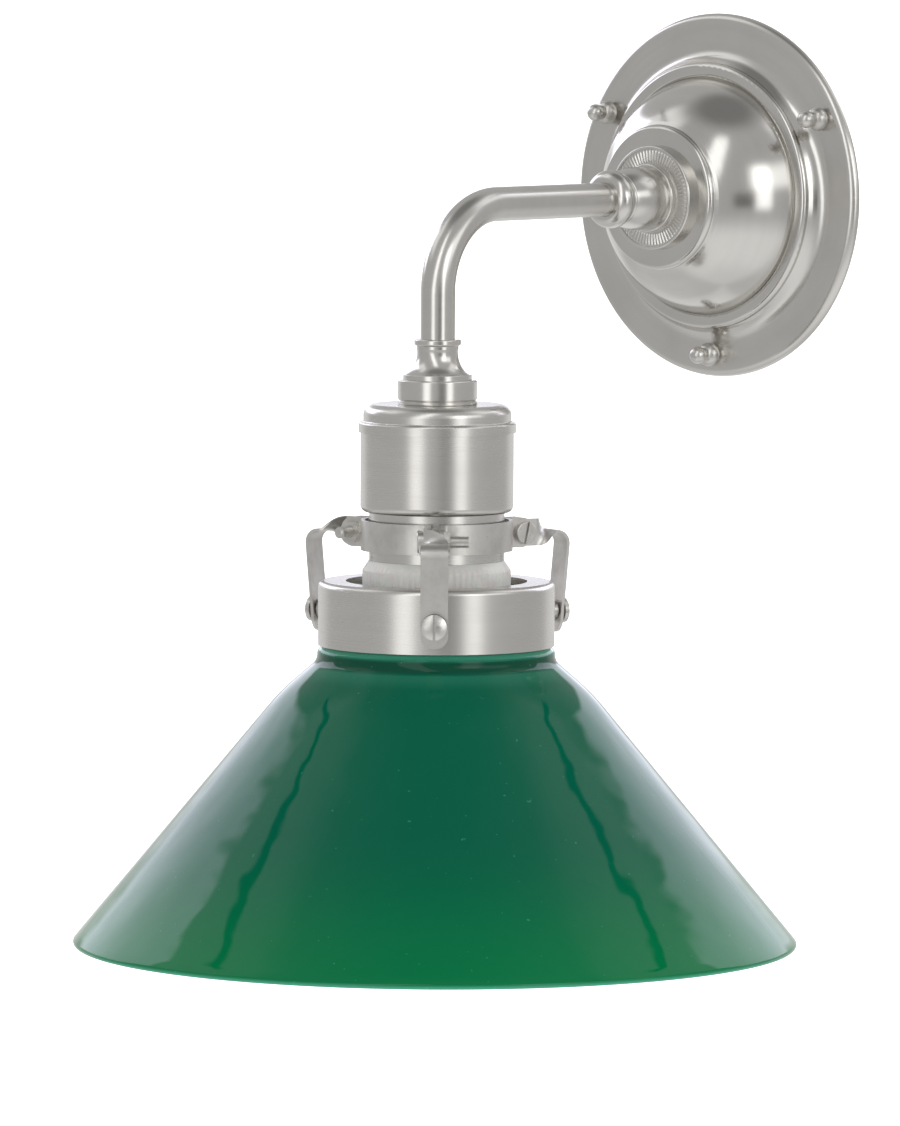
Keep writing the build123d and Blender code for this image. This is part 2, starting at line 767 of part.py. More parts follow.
def arm_shape():
    """Gallery arm in the frame of its bearing: flat in the ears, twisted, then bent down."""
    flat = Box(twist_start - strap_start, strap_sheet, strap_width,
               align=(Align.MIN, Align.CENTER, Align.CENTER))
    flat = Location((strap_start, -strap_offset, 0)) * flat
    sections = []
    for step in range(twist_sections):
        share = step / (twist_sections - 1)
        ease = share * share * (3 - 2 * share)
        centre = (twist_start + share * (twist_end - twist_start), -strap_offset * (1 - ease), 0)
        turn = radians(90 * ease)
        across = Plane(origin=centre, x_dir=(0, sin(turn), cos(turn)), z_dir=(1, 0, 0))
        sections.append(across * Rectangle(strap_width, strap_sheet))
    twist = loft(sections)
    lean = radians(strap_lean)
    foot = (strap_corner_radius - strap_end_drop * tan(lean), 0, -strap_end_drop)
    path = FilletPolyline(
        (twist_end, 0, 0), (strap_corner_radius, 0, 0), foot, radius=[strap_bend]
    )
    start = Plane(origin=(twist_end, 0, 0), x_dir=(0, 1, 0), z_dir=(1, 0, 0))
    leg = sweep(start * Rectangle(strap_width, strap_sheet), path=path)
    end_face = leg.faces().sort_by(Axis.Z)[0]
    corners = [edge for edge in end_face.edges() if edge.length < strap_width / 2]
    leg = fillet(corners, strap_end_rounding)
    arm = flat + twist + leg
    ear_hole = Cylinder(ear_screw_radius + slip_fit, 4 * strap_offset, rotation=(90, 0, 0))
    arm -= Location((ear_screw_circle, -strap_offset, 0)) * ear_hole
    ring_hole = Cylinder(ring_screw_radius + loose_fit, 4 * strap_sheet, rotation=(0, 90, 0))
    arm -= Location((strap_at_screw, 0, ring_screw_height - clamp_centre)) * ring_hole
    return arm


def make_arms():
    """Three twisted straps between the clamp's ears and the gallery ring."""
    arm = arm_shape()
    for number, bearing in enumerate(arm_bearings, start=1):
        nodes[f"gallery_arm_{number}"] = at_bearing(bearing, clamp_centre) * arm


def ear_screw_shape():
    """Cheese-head screw along local Y through strap and ears, and its nut."""
    seat = -ear_gap / 2 - ear_sheet - strap_sheet
    along = Plane(origin=(0, 0, 0), x_dir=(1, 0, 0), z_dir=(0, 1, 0))
    head = cylinder_along(seat - ear_head_height, seat, ear_head_radius, along)
    head = fillet(head.faces().sort_by(Axis.Y)[0].edges(), 0.4)
    slot_place = Location((0, seat - ear_head_height, 0)) * Rotation(0, ear_slot_turn, 0)
    head -= slot_place * Box(screw_slot, 2 * slot_depth, 3 * ear_head_radius)
    screw = head + cylinder_along(seat, ear_screw_end, ear_screw_radius, along)
    nut_plan = RegularPolygon(hexagon_radius(ear_nut_flats), 6)
    nut_plan -= Circle(ear_screw_radius + slip_fit)
    nut_start = along * Location((0, 0, ear_gap / 2 + ear_sheet))
    nut = extrude(nut_start * nut_plan, ear_nut_thickness)
    return screw, nut


def make_ear_screws():
    """Screws and nuts that draw the three segments together."""
    screw, nut = ear_screw_shape()
    places = [
        at_bearing(bearing, clamp_centre) * Location((ear_screw_circle, 0, 0))
        for bearing in arm_bearings
    ]
    nodes["ear_screws"] = Compound(children=[place * screw for place in places])
    nodes["ear_nuts"] = Compound(children=[place * nut for place in places])


def make_gallery_ring():
    """Pressed ring round the glass, with three brazed bosses for the ring screws."""
    foot = gallery_top - gallery_height
    ring = turned_on_drop(sheet_face(open_line([
        (gallery_hole_radius, gallery_top, 0),
        (gallery_radius, gallery_top, gallery_rounding),
        (gallery_radius, foot, 0),
    ]), gallery_sheet))
    boss_end = strap_inner_at_screw - boss_tube_radius * tan(radians(strap_lean)) - slip_fit
    boss = cylinder_along(gallery_radius - gallery_sheet / 2, boss_end, boss_tube_radius, OUTWARD)
    bore = cylinder_along(
        gallery_hole_radius, strap_at_screw, ring_screw_radius + running_fit, OUTWARD
    )
    for bearing in arm_bearings:
        ring += at_bearing(bearing, ring_screw_height) * boss
    for bearing in arm_bearings:
        ring -= at_bearing(bearing, ring_screw_height) * bore
    nodes["gallery_ring"] = ring


def make_ring_screws():
    """Three slotted screws that reach in under the lip of the glass."""
    tip = shade_waist_radius + loose_fit
    shank = cylinder_along(tip, head_seat, ring_screw_radius, OUTWARD)
    edge_top = head_seat + ring_screw_head_edge
    head_top = head_seat + ring_screw_head_height
    dome = ThreePointArc(
        (ring_screw_head_radius, edge_top),
        (ring_screw_crown_share * ring_screw_head_radius, head_top - ring_screw_crown_drop),
        (0, head_top),
    )
    sides = Polyline(
        (0, head_top), (0, head_seat), (ring_screw_head_radius, head_seat),
        (ring_screw_head_radius, edge_top),
    )
    head = OUTWARD * revolve(Plane.XZ * make_face(Curve() + [dome, sides]), axis=Axis.Z)
    slot = Box(2 * slot_depth, screw_slot, 3 * ring_screw_head_radius)
    head -= Location((head_top, 0, 0)) * slot
    screw = shank + head
    for number, bearing in enumerate(arm_bearings, start=1):
        nodes[f"ring_screw_{number}"] = at_bearing(bearing, ring_screw_height) * screw


# ---- glass and lamp -----------------------------------------------------------------------
def make_shade():
    """Blown glass cone: rolled lip, waist for the screws, flared shoulder and ground rim."""
    lip_foot = ring_screw_height + ring_screw_radius + loose_fit
    waist_foot = lip_foot - shade_waist_length
    collar_top = gallery_top - gallery_height - shade_collar_drop
    collar_foot = collar_top - shade_collar_height
    shoulder = collar_top - shade_shoulder_drop
    slope = (shade_rim_radius - shade_shoulder_radius) / (shoulder - shade_rim)
    spare = 2 * glass_wall
    skin = open_line([
        (shade_waist_radius, shade_lip_top - shade_lip_overlap, 0),
        (shade_waist_radius, waist_foot, 2.0),
        (shade_collar_radius, collar_top, 2.0),
        (shade_collar_radius + shade_collar_draft, collar_foot, 5.0),
        (shade_shoulder_radius, shoulder, shade_shoulder_rounding),
        (shade_rim_radius + spare * slope, shade_rim - spare, 0),
    ])
    wall = turned_on_drop(sheet_face(skin, glass_wall))
    below = Box(4 * shade_rim_radius, 4 * shade_rim_radius, 4 * spare,
                align=(Align.CENTER, Align.CENTER, Align.MAX))
    wall -= Location((0, -reach, shade_rim)) * below
    lip = turned_on_drop(outline([
        (shade_waist_radius - glass_wall, shade_lip_top, 0.9),
        (shade_lip_radius, shade_lip_top, 1.6),
        (shade_lip_radius, lip_foot, 1.2),
        (shade_waist_radius - glass_wall, lip_foot, 0),
    ]))
    shade = wall + lip
    rim_edges = shade.edges().filter_by(GeomType.CIRCLE).group_by(Axis.Z)[0]
    nodes["glass_shade"] = fillet(rim_edges, (glass_wall - shade_rim_flat) / 2)


def make_lamp():
    """Lamp: thin screw cap with its contact, and the blown bulb seated in it."""
    cap_end = lamp_top - lamp_cap_length
    nodes["lamp_cap"] = turned_on_drop(sheet_face(open_line([
        (0, lamp_top, 0),
        (lamp_contact_radius, lamp_top, 0.8),
        (lamp_cone_radius, lamp_top - lamp_contact_height, 0.8),
        (lamp_cap_radius, lamp_top - lamp_cone_height, 1.0),
        (lamp_cap_radius, cap_end, 0),
    ]), lamp_cap_sheet))
    bulb_top = cap_end + lamp_seat
    bulb_foot = lamp_top - lamp_length
    centre = bulb_foot + lamp_bulb_radius
    neck_radius = lamp_cap_radius - lamp_cap_sheet - slip_fit
    sweep_across = neck_radius + lamp_neck_sweep
    rise = sqrt((lamp_bulb_radius + lamp_neck_sweep) ** 2 - sweep_across**2)
    share = lamp_bulb_radius / (lamp_bulb_radius + lamp_neck_sweep)
    shoulder = (share * sweep_across, centre + share * rise)
    side = Curve() + [
        Line((neck_radius, bulb_top), (neck_radius, centre + rise)),
        TangentArc((neck_radius, centre + rise), shoulder, tangent=(0, -1)),
        ThreePointArc(shoulder, (lamp_bulb_radius, centre), (0, bulb_foot)),
    ]
    nodes["lamp_bulb"] = turned_on_drop(sheet_face(side, lamp_glass))


def build():
    """Make every piece in order, from the wall to the lamp."""
    make_bracket()
    make_plate()
    make_knobs()
    make_terminal_block()
    make_arm_clamp()
    make_boss_disc()
    make_arm_collar()
    make_swan_neck()
    make_flex()
    make_ferrule()
    make_holder_shells()
    make_holder_fixing()
    make_holder_core()
    make_skirt_ring()
    make_clamp()
    make_arms()
    make_ear_screws()
    make_gallery_ring()
    make_ring_screws()
    make_shade()
    make_lamp()


build()
os.makedirs("parts", exist_ok=True)
for node_name, shape in nodes.items():
    export_step(shape, f"parts/{node_name}.step")
print(len(nodes), "nodes written")
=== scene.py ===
"""Gooseneck wall light with a green glass cone shade, dressed for the studio.

The packed model is the frame: millimetre-true solids, here in metres, +Z up, with the wall at
y = 0 and the light reaching out along -Y. This script gives every solid its finish, makes the
pieces whose detail is finer than the solids (glass, ribbed skirt, reeded disc and threads), and
sets the stage, the light and the camera of the photograph.
"""

import math

import bmesh
import bpy
import numpy as np
from bpy.props import FloatProperty, FloatVectorProperty, IntProperty, PointerProperty
from bpy.types import Operator, Panel, PropertyGroup
from mathutils import Matrix, Vector


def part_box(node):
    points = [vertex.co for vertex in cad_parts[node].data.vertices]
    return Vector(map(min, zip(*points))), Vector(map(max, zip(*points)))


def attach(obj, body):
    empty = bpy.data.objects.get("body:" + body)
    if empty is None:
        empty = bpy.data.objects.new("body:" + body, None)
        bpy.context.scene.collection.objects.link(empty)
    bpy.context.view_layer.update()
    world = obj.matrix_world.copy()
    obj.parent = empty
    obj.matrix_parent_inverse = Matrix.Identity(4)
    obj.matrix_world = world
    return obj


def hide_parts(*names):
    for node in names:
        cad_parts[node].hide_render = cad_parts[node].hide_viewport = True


bl_info = {
    "name": "Gooseneck wall light",
    "version": (1, 0, 0),
    "blender": (4, 5, 0),
    "location": "3D View > Sidebar > Wall light",
    "description": "Finishes, fine pieces, stage and camera of a gooseneck wall light",
    "category": "Object",
}

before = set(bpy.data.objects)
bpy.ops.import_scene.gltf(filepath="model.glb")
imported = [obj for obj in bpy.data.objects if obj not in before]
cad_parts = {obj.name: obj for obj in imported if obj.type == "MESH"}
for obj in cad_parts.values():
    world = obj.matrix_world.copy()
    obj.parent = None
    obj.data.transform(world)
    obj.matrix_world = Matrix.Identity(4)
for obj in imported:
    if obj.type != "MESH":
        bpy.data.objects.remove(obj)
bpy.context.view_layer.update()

MM = 0.001
TURN = 2 * math.pi

# ---- places read from the frame -----------------------------------------------------------
shade_low, shade_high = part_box("glass_shade")
disc_low, disc_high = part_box("boss_disc")
skirt_low, skirt_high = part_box("skirt_ring")
sleeve_low, sleeve_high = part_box("holder_sleeve")
clamp_low, clamp_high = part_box("collar_segment_1")
ring_low, ring_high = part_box("gallery_ring")
reach = -(shade_low.y + shade_high.y) / 2


# ---- shapes -------------------------------------------------------------------------------
def rounded_outline(corners, arc_points=7):
    """Closed outline through corners (x, y, rounding), as an array of points.

    A rounding r at a corner that turns by an angle t begins and ends r tan(t / 2) away from
    the corner. Its points lie r from a centre, at equal steps between the two runs' normals.
    A corner without rounding gives the same point over and over, and repeats are dropped.
    """
    data = np.array(corners, float)
    point, rounding = data[:, :2], data[:, 2]
    leaving = np.roll(point, -1, axis=0) - point
    leaving /= np.linalg.norm(leaving, axis=1, keepdims=True)
    arriving = np.roll(leaving, 1, axis=0)
    turn = np.arctan2(
        arriving[:, 0] * leaving[:, 1] - arriving[:, 1] * leaving[:, 0],
        (arriving * leaving).sum(axis=1),
    )
    start = point - arriving * (rounding * np.tan(np.abs(turn) / 2))[:, None]
    normal = np.stack([-arriving[:, 1], arriving[:, 0]], axis=1) * np.sign(turn)[:, None]
    centre = start + normal * rounding[:, None]
    spoke = start - centre
    angle = turn[:, None] * np.linspace(0, 1, arc_points)
    x = centre[:, :1] + spoke[:, :1] * np.cos(angle) - spoke[:, 1:] * np.sin(angle)
    y = centre[:, 1:] + spoke[:, :1] * np.sin(angle) + spoke[:, 1:] * np.cos(angle)
    line = np.stack([x.ravel(), y.ravel()], axis=1)
    step = np.linalg.norm(line - np.roll(line, 1, axis=0), axis=1)
    return line[step > 1e-9]


def densified(line, longest):
    """The closed line with every run cut into equal steps no longer than the given length.

    The points are read off the line at equal shares of the way round between its corners.
    """
    closed = np.vstack([line, line[:1]])
    run = np.linalg.norm(np.diff(closed, axis=0), axis=1)
    cuts = np.maximum(1, np.ceil(run / longest)).astype(int)
    first = np.repeat(np.arange(len(run)), cuts)
    before = np.repeat(np.cumsum(cuts) - cuts, cuts)
    share = (np.arange(cuts.sum()) - before) / cuts[first]
    return closed[first] + (closed[first + 1] - closed[first]) * share[:, None]


def on_arm(radius, angle, height):
    """Points about the arm's axis: (radius cos a, -height, radius sin a)."""
    return np.stack([radius * np.cos(angle), -height + 0 * angle, radius * np.sin(angle)], axis=-1)


def on_drop(radius, angle, height):
    """Points about the shade's vertical axis: (radius cos a, radius sin a - reach, height)."""
    x = radius * np.cos(angle)
    y = radius * np.sin(angle) - reach
    return np.stack([x, y, height + 0 * angle], axis=-1)


def angles(steps):
    """Equal steps of a full turn, as one row."""
    return np.arange(steps)[None, :] * TURN / steps


def grid_faces(rows, columns, wraps_rows, wraps_columns):
    """Quads between neighbours of a grid of points, round its ends where it wraps."""
    index = np.arange(rows * columns).reshape(rows, columns)
    if wraps_rows:
        index = np.vstack([index, index[:1]])
    if wraps_columns:
        index = np.hstack([index, index[:, :1]])
    around = [index[:-1, :-1], index[1:, :-1], index[1:, 1:], index[:-1, 1:]]
    return np.stack(around, axis=-1).reshape(-1, 4)


def make_piece(name, grids, body, finishes, sharp=32, zones=None):
    """One mesh piece from grids of points (rows, columns, 3), closed both ways round.

    Points that fall together, as at a pole, become one. Normals are set outwards, faces are
    smooth, and an edge stays crisp where its faces meet at more than the sharp angle.
    """
    points = []
    faces = []
    for grid in grids:
        rows, columns = grid.shape[:2]
        faces.append(grid_faces(rows, columns, True, True) + sum(len(p) for p in points))
        points.append(grid.reshape(-1, 3))
    mesh = bpy.data.meshes.new(name)
    mesh.from_pydata(np.concatenate(points).tolist(), [], np.concatenate(faces).tolist())
    for finish in finishes:
        mesh.materials.append(finish)
    if zones is not None:
        mesh.polygons.foreach_set("material_index", zones)
    work = bmesh.new()
    work.from_mesh(mesh)
    bmesh.ops.remove_doubles(work, verts=work.verts, dist=1e-7)
    bmesh.ops.recalc_face_normals(work, faces=work.faces)
    work.to_mesh(mesh)
    work.free()
    mesh.shade_smooth()
    mesh.set_sharp_from_angle(angle=math.radians(sharp))
    piece = bpy.data.objects.new(name, mesh)
    bpy.context.scene.collection.objects.link(piece)
    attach(piece, body)
    return piece


# ---- shader maths -------------------------------------------------------------------------
class Reading:
    """A number that varies over a surface. Arithmetic on readings adds Math nodes."""

    def __init__(self, finish, socket):
        self.finish = finish
        self.socket = socket

    def math(self, operation, *values):
        return self.finish.add("ShaderNodeMath", {"operation": operation}, dict(enumerate(values)))

    def __add__(self, other):
        return self.math("ADD", self, other)

    def __radd__(self, other):
        return self.math("ADD", other, self)

    def __sub__(self, other):
        return self.math("SUBTRACT", self, other)

    def __rsub__(self, other):
        return self.math("SUBTRACT", other, self)

    def __mul__(self, other):
        return self.math("MULTIPLY", self, other)

    def __rmul__(self, other):
        return self.math("MULTIPLY", other, self)

    def __truediv__(self, other):
        return self.math("DIVIDE", self, other)

    def root(self):
        return self.math("SQRT", self)

    def size(self):
        return self.math("ABSOLUTE", self)

    def ramp(self, low, high):
        """0 below low, 1 above high, and an eased rise between them."""
        settings = {"interpolation_type": "SMOOTHSTEP"}
        inputs = {"Value": self, "From Min": low, "From Max": high}
        return self.finish.add("ShaderNodeMapRange", settings, inputs)

    def window(self, low, high, edge):
        """1 between low and high, 0 outside, with soft edges of the given width."""
        return self.ramp(low - edge, low + edge) * (1 - self.ramp(high - edge, high + edge))


class Finish:
    """A node tree under construction, with one method that adds any node."""

    def __init__(self, tree):
        self.tree = tree

    def add(self, kind, settings=None, inputs=None, output=0):
        """A node of a kind, its settings first and then the values or links of its sockets."""
        node = self.tree.nodes.new(kind)
        for key, value in (settings or {}).items():
            if key == "stops":
                self.set_stops(node.color_ramp.elements, value)
            else:
                setattr(node, key, value)
        self.feed(node, inputs or {})
        return Reading(self, node.outputs[output])

    def feed(self, node, inputs):
        """Sets or links a node's inputs, by name or by number."""
        for key, value in inputs.items():
            if isinstance(value, Reading):
                self.tree.links.new(value.socket, node.inputs[key])
            else:
                node.inputs[key].default_value = value

    def set_stops(self, elements, stops):
        """Sets a ramp's stops, each a place and a colour."""
        while len(elements) < len(stops):
            elements.new(1.0)
        for element, (place, colour) in zip(elements, stops):
            element.position = place
            element.color = (*colour, 1.0)

    def split(self, vector):
        """The three parts of a vector."""
        node = self.tree.nodes.new("ShaderNodeSeparateXYZ")
        self.feed(node, {0: vector})
        return [Reading(self, socket) for socket in node.outputs]

    def join(self, x, y, z):
        return self.add("ShaderNodeCombineXYZ", None, {0: x, 1: y, 2: z})

    def noise(self, vector, scale, detail=2.0, rough=0.5, w=None):
        """Cloudy noise from 0 to 1, in three dimensions, or in four where w is given."""
        settings = {"noise_dimensions": "3D" if w is None else "4D"}
        inputs = {"Vector": vector, "Scale": scale, "Detail": detail, "Roughness": rough}
        if w is not None:
            inputs["W"] = w
        return self.add("ShaderNodeTexNoise", settings, inputs)

    def blend(self, share, first, second):
        """Colour mix: first where share is 0, second where it is 1."""
        settings = {"data_type": "RGBA"}
        colours = [c if isinstance(c, Reading) else (*c, 1.0) for c in (first, second)]
        return self.add("ShaderNodeMix", settings, {0: share, 6: colours[0], 7: colours[1]}, 2)

    def bump(self, height, distance, strength=1.0):
        inputs = {"Strength": strength, "Distance": distance, "Height": height}
        return self.add("ShaderNodeBump", None, inputs)


class SurfaceFinish(Finish):
    """A material with one Principled shader; its constants are set on the shader itself."""

    def __init__(self, name, **constants):
        self.material = bpy.data.materials.new(name)
        self.material.use_nodes = True
        super().__init__(self.material.node_tree)
        self.shader = self.tree.nodes["Principled BSDF"]
        self.set(**constants)
        self.place = self.add("ShaderNodeTexCoord", None, None, 3)

    def set(self, **inputs):
        """Feeds the shader's sockets: base_color is Base Color, and so on."""
        named = {key.replace("_", " ").title(): value for key, value in inputs.items()}
        named = {key.replace("Ior", "IOR"): value for key, value in named.items()}
        self.feed(self.shader, named)

    def about_arm(self):
        """Distance from the arm's axis, height out of the wall, and two turning parts."""
        x, y, z = self.split(self.place)
        radius = (x * x + z * z).root() + 1e-6
        return radius, 0 - y, x / radius, z / radius

    def about_drop(self):
        """Distance from the shade's axis, height, and two parts that turn about the axis."""
        x, y, z = self.split(self.place)
        out = y + reach
        radius = (x * x + out * out).root() + 1e-6
        return radius, z, x / radius, out / radius


def turning_marks(finish, parts, fine, wander=0.35):
    """Noise drawn out round the axis, as a lathe or a buff leaves it; fine is lines per metre."""
    radius, height, across, along = parts
    place = finish.join(across * wander, along * wander, radius * fine)
    return finish.noise(place, 1.0, 3.0, 0.65, height * fine)


# ---- metal finishes -----------------------------------------------------------------------
def nickel(name, parts_of, tone, shadow_tone, roughness, mark, grain=0.0, duller_past=None):
    """Nickel plate on turned or spun brass.

    Roughness and a very low relief follow the turning marks. A slow, faint film of a warmer,
    duller tone lies over it, with short fine scratches in it. Past the given radius the
    polish is duller.
    """
    finish = SurfaceFinish(name, metallic=1.0)
    parts = getattr(finish, parts_of)()
    rings = turning_marks(finish, parts, 2600)
    broad = turning_marks(finish, parts, 260, 0.8)
    cloud = finish.noise(finish.place, 38.0, 3.0, 0.5)
    speck = finish.noise(finish.place, 900.0, 3.0, 0.7)
    haze = cloud.ramp(0.35, 0.8)
    scratch = finish.noise(finish.place, 420.0, 8.0, 0.85).ramp(0.66, 0.78)
    share = 0.3 * haze + 0.2 * rings * broad.ramp(0.35, 0.65)
    surface = roughness + mark * (rings - 0.5) + 0.02 * haze + 0.03 * scratch
    if duller_past:
        surface = surface + 0.08 * parts[0].ramp(duller_past, duller_past + 2 * MM)
    relief = rings * 0.7 + broad * 0.4 + speck * (0.15 + grain)
    finish.set(
        base_color=finish.blend(share, tone, shadow_tone),
        roughness=surface,
        normal=finish.bump(relief, 0.00002 + 0.00006 * grain, 0.12),
    )
    return finish.material


def cast_nickel(name, tone, shadow_tone):
    """Plated castings: softened detail, a fine orange-peel grain and dull hollows."""
    finish = SurfaceFinish(name, metallic=1.0)
    grain = finish.noise(finish.place, 700.0, 4.0, 0.6)
    lump = finish.noise(finish.place, 170.0, 3.0, 0.55)
    dull = lump.ramp(0.4, 0.7)
    finish.set(
        base_color=finish.blend(0.8 * dull, tone, shadow_tone),
        roughness=0.2 + 0.16 * grain + 0.08 * dull,
        normal=finish.bump(grain * 0.35 + lump, 0.00025, 0.5),
    )
    return finish.material


def strap_nickel(name, tone, shadow_tone):
    """Nickel on pressed strip: rolling marks, a dull film and small rubbed spots."""
    finish = SurfaceFinish(name, metallic=1.0)
    x, y, z = finish.split(finish.place)
    rolled = finish.noise(finish.join(x * 900, y * 900, z * 130), 1.0, 4.0, 0.7)
    film = finish.noise(finish.place, 85.0, 4.0, 0.62).ramp(0.38, 0.7)
    rub = finish.noise(finish.place, 260.0, 5.0, 0.75).ramp(0.58, 0.72)
    finish.set(
        base_color=finish.blend(0.75 * film, tone, shadow_tone),
        roughness=0.27 + 0.14 * rolled + 0.09 * film - 0.1 * rub,
        normal=finish.bump(rolled + 0.4 * rub, 0.00005, 0.35),
    )
    return finish.material


def bright_zinc(name, tone, shadow_tone):
    """Bright zinc on steel: faint spangle and a bluish dull film."""
    finish = SurfaceFinish(name, metallic=1.0)
    cells = {"Vector": finish.place, "Scale": 420.0}
    spangle = finish.add("ShaderNodeTexVoronoi", {"feature": "F1"}, cells)
    film = finish.noise(finish.place, 140.0, 5.0, 0.6)
    finish.set(
        base_color=finish.blend(film.ramp(0.35, 0.7), tone, shadow_tone),
        roughness=0.3 + 0.16 * film + 0.06 * spangle,
        normal=finish.bump(film + 0.3 * spangle, 0.00006, 0.3),
    )
    return finish.material


def contact_brass(name, tone, shadow_tone):
    """Bare brass of the contacts, browned where it isn't rubbed."""
    finish = SurfaceFinish(name, metallic=1.0)
    brown = finish.noise(finish.place, 190.0, 5.0, 0.65).ramp(0.35, 0.68)
    grain = finish.noise(finish.place, 1300.0, 3.0, 0.6)
    finish.set(
        base_color=finish.blend(brown, tone, shadow_tone),
        roughness=0.22 + 0.18 * brown + 0.08 * grain,
        normal=finish.bump(grain, 0.00004, 0.3),
    )
    return finish.material


# ---- glass and other finishes -------------------------------------------------------------
def green_glass(name, deep, bright, edge, roughness):
    """Green glass cased over white, seen from outside.

    The colour is deepest at the shoulder and grows lighter towards the rim.
    The neck just under the ring is painted paler, as light coming through the glass, the band
    below it is painted darker, as the ring's shade, and the bend that follows carries a painted
    highlight. The rim's edge is painted with the green of light coming through it. Slow waves
    from the blowing run round the cone, and a few seeds and dust specks sit in the surface.
    """
    neck_start, neck_end = 1.0 * MM, 2.8 * MM
    crease_start, crease_end, crease_edge = 2.6 * MM, 6.4 * MM, 0.7 * MM
    bend_start, bend_top, bend_end = 6.6 * MM, 7.4 * MM, 12 * MM
    finish = SurfaceFinish(name, roughness=roughness, ior=1.5, specular_ior_level=0.2)
    _, height, across, along = finish.about_drop()
    fall = (shade_high.z - height) / (shade_high.z - shade_low.z)
    opening = fall.ramp(0.6, 1.02)
    sweep = finish.noise(finish.join(across * 1.6, along * 1.6, height * 9), 1.0, 3.0, 0.5)
    cased = finish.blend(opening * (0.85 + 0.3 * sweep), deep, bright)
    under_ring = ring_low.z - height
    # painted light: the neck under the ring is blended towards the green of light coming through
    neck = 1 - under_ring.ramp(neck_start, neck_end)
    # painted shade: the band below the neck is darkened towards black, as the ring's shade
    painted_shade_band = under_ring.window(crease_start, crease_end, crease_edge)
    # painted highlight: the bend below the band is blended a little towards the light-through green
    bend = under_ring.ramp(bend_start, bend_top) * (1 - under_ring.ramp(bend_top, bend_end))
    # painted light: the rim's edge is blended towards the green of light coming through it
    rim = fall.ramp(0.985, 0.998)
    shaded = finish.blend(0.45 * painted_shade_band, cased, (0.0, 0.0, 0.0))
    pale = finish.blend(neck * 0.45 + bend * 0.14, shaded, edge)
    body = finish.blend(rim * 0.8, pale, edge)
    speck = finish.noise(finish.place, 520.0, 2.0, 0.5).ramp(0.735, 0.76)
    wave = finish.noise(finish.join(across * 2.2, along * 2.2, height * 30), 1.0, 2.0, 0.45)
    ripple = finish.noise(finish.place, 38.0, 2.0, 0.4)
    finish.set(
        base_color=finish.blend(speck * 0.35, body, edge),
        normal=finish.bump(wave + 0.4 * ripple + 0.01 * speck, 0.0016, 0.48),
    )
    return finish.material


def opal_glass(name, tone, shadow_tone, roughness):
    """White opal glass: milky, with faint cords drawn out by the blowing."""
    milky = {"subsurface_weight": 0.25, "subsurface_scale": 0.004}
    finish = SurfaceFinish(name, ior=1.5, subsurface_radius=(1.0, 1.0, 0.9), **milky)
    _, height, across, along = finish.about_drop()
    cords = finish.noise(finish.join(across * 3, along * 3, height * 60), 1.0, 4.0, 0.5)
    finish.set(
        base_color=finish.blend(cords.ramp(0.3, 0.75), tone, shadow_tone),
        roughness=roughness + 0.05 * cords,
        normal=finish.bump(cords, 0.0005, 0.2),
    )
    return finish.material


def white_moulding(name, tone, shadow_tone):
    """White moulded plastic: slightly waxy, with a fine spark texture and dust in hollows."""
    finish = SurfaceFinish(name, ior=1.46, subsurface_weight=0.15, subsurface_scale=0.002)
    spark = finish.noise(finish.place, 1500.0, 3.0, 0.6)
    dust = finish.noise(finish.place, 120.0, 4.0, 0.6).ramp(0.45, 0.8)
    finish.set(
        base_color=finish.blend(dust * 0.6, tone, shadow_tone),
        roughness=0.36 + 0.12 * spark + 0.1 * dust,
        normal=finish.bump(spark, 0.00003, 0.35),
    )
    return finish.material


def glazed_porcelain(name, tone, shadow_tone):
    """Glazed porcelain: a creamy body under glaze, with pinholes."""
    finish = SurfaceFinish(name, ior=1.5, coat_weight=0.5, coat_roughness=0.08)
    body = finish.noise(finish.place, 90.0, 4.0, 0.55)
    pinhole = finish.noise(finish.place, 800.0, 2.0, 0.5).ramp(0.7, 0.75)
    finish.set(
        base_color=finish.blend(0.5 * body + 0.4 * pinhole, tone, shadow_tone),
        roughness=0.2 + 0.12 * body,
        normal=finish.bump(body - 0.3 * pinhole, 0.0002, 0.2),
    )
    return finish.material


def block_plastic(name, tone, shadow_tone):
    """Nylon of the terminal block: satin, with flow marks."""
    finish = SurfaceFinish(name, ior=1.52)
    flow = finish.noise(finish.place, 210.0, 5.0, 0.6)
    finish.set(
        base_color=finish.blend(flow.ramp(0.3, 0.7), tone, shadow_tone),
        roughness=0.42 + 0.14 * flow,
        normal=finish.bump(flow, 0.00008, 0.3),
    )
    return finish.material


def flex_sheath(name, tone, shadow_tone):
    """Extruded sheath: soft gloss with fine lines along it and scuffs."""
    finish = SurfaceFinish(name, ior=1.49)
    scuff = finish.noise(finish.place, 340.0, 5.0, 0.7)
    line = finish.noise(finish.place, 1500.0, 2.0, 0.5)
    finish.set(
        base_color=finish.blend(scuff.ramp(0.45, 0.8), tone, shadow_tone),
        roughness=0.4 + 0.2 * scuff,
        normal=finish.bump(line + scuff, 0.00005, 0.3),
    )
    return finish.material


def dress(finish, *nodes):
    """Gives CAD nodes a finish."""
    for node in nodes:
        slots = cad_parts[node].data.materials
        slots.clear()
        slots.append(finish)


# ---- settings -----------------------------------------------------------------------------
def tone_property(name, description, default):
    """A colour that the user may change, in linear light."""
    limits = {"size": 3, "min": 0.0, "max": 1.0}
    return FloatVectorProperty(
        name=name, description=description, default=default, subtype="COLOR", **limits
    )


def length_property(name, description, default):
    """A length in metres."""
    kind = {"unit": "LENGTH", "subtype": "DISTANCE", "precision": 5}
    return FloatProperty(name=name, description=description, default=default, **kind)


def angle_property(name, description, degrees):
    """An angle, given in degrees and kept in radians."""
    kind = {"unit": "ROTATION", "subtype": "ANGLE"}
    return FloatProperty(name=name, description=description, default=math.radians(degrees), **kind)


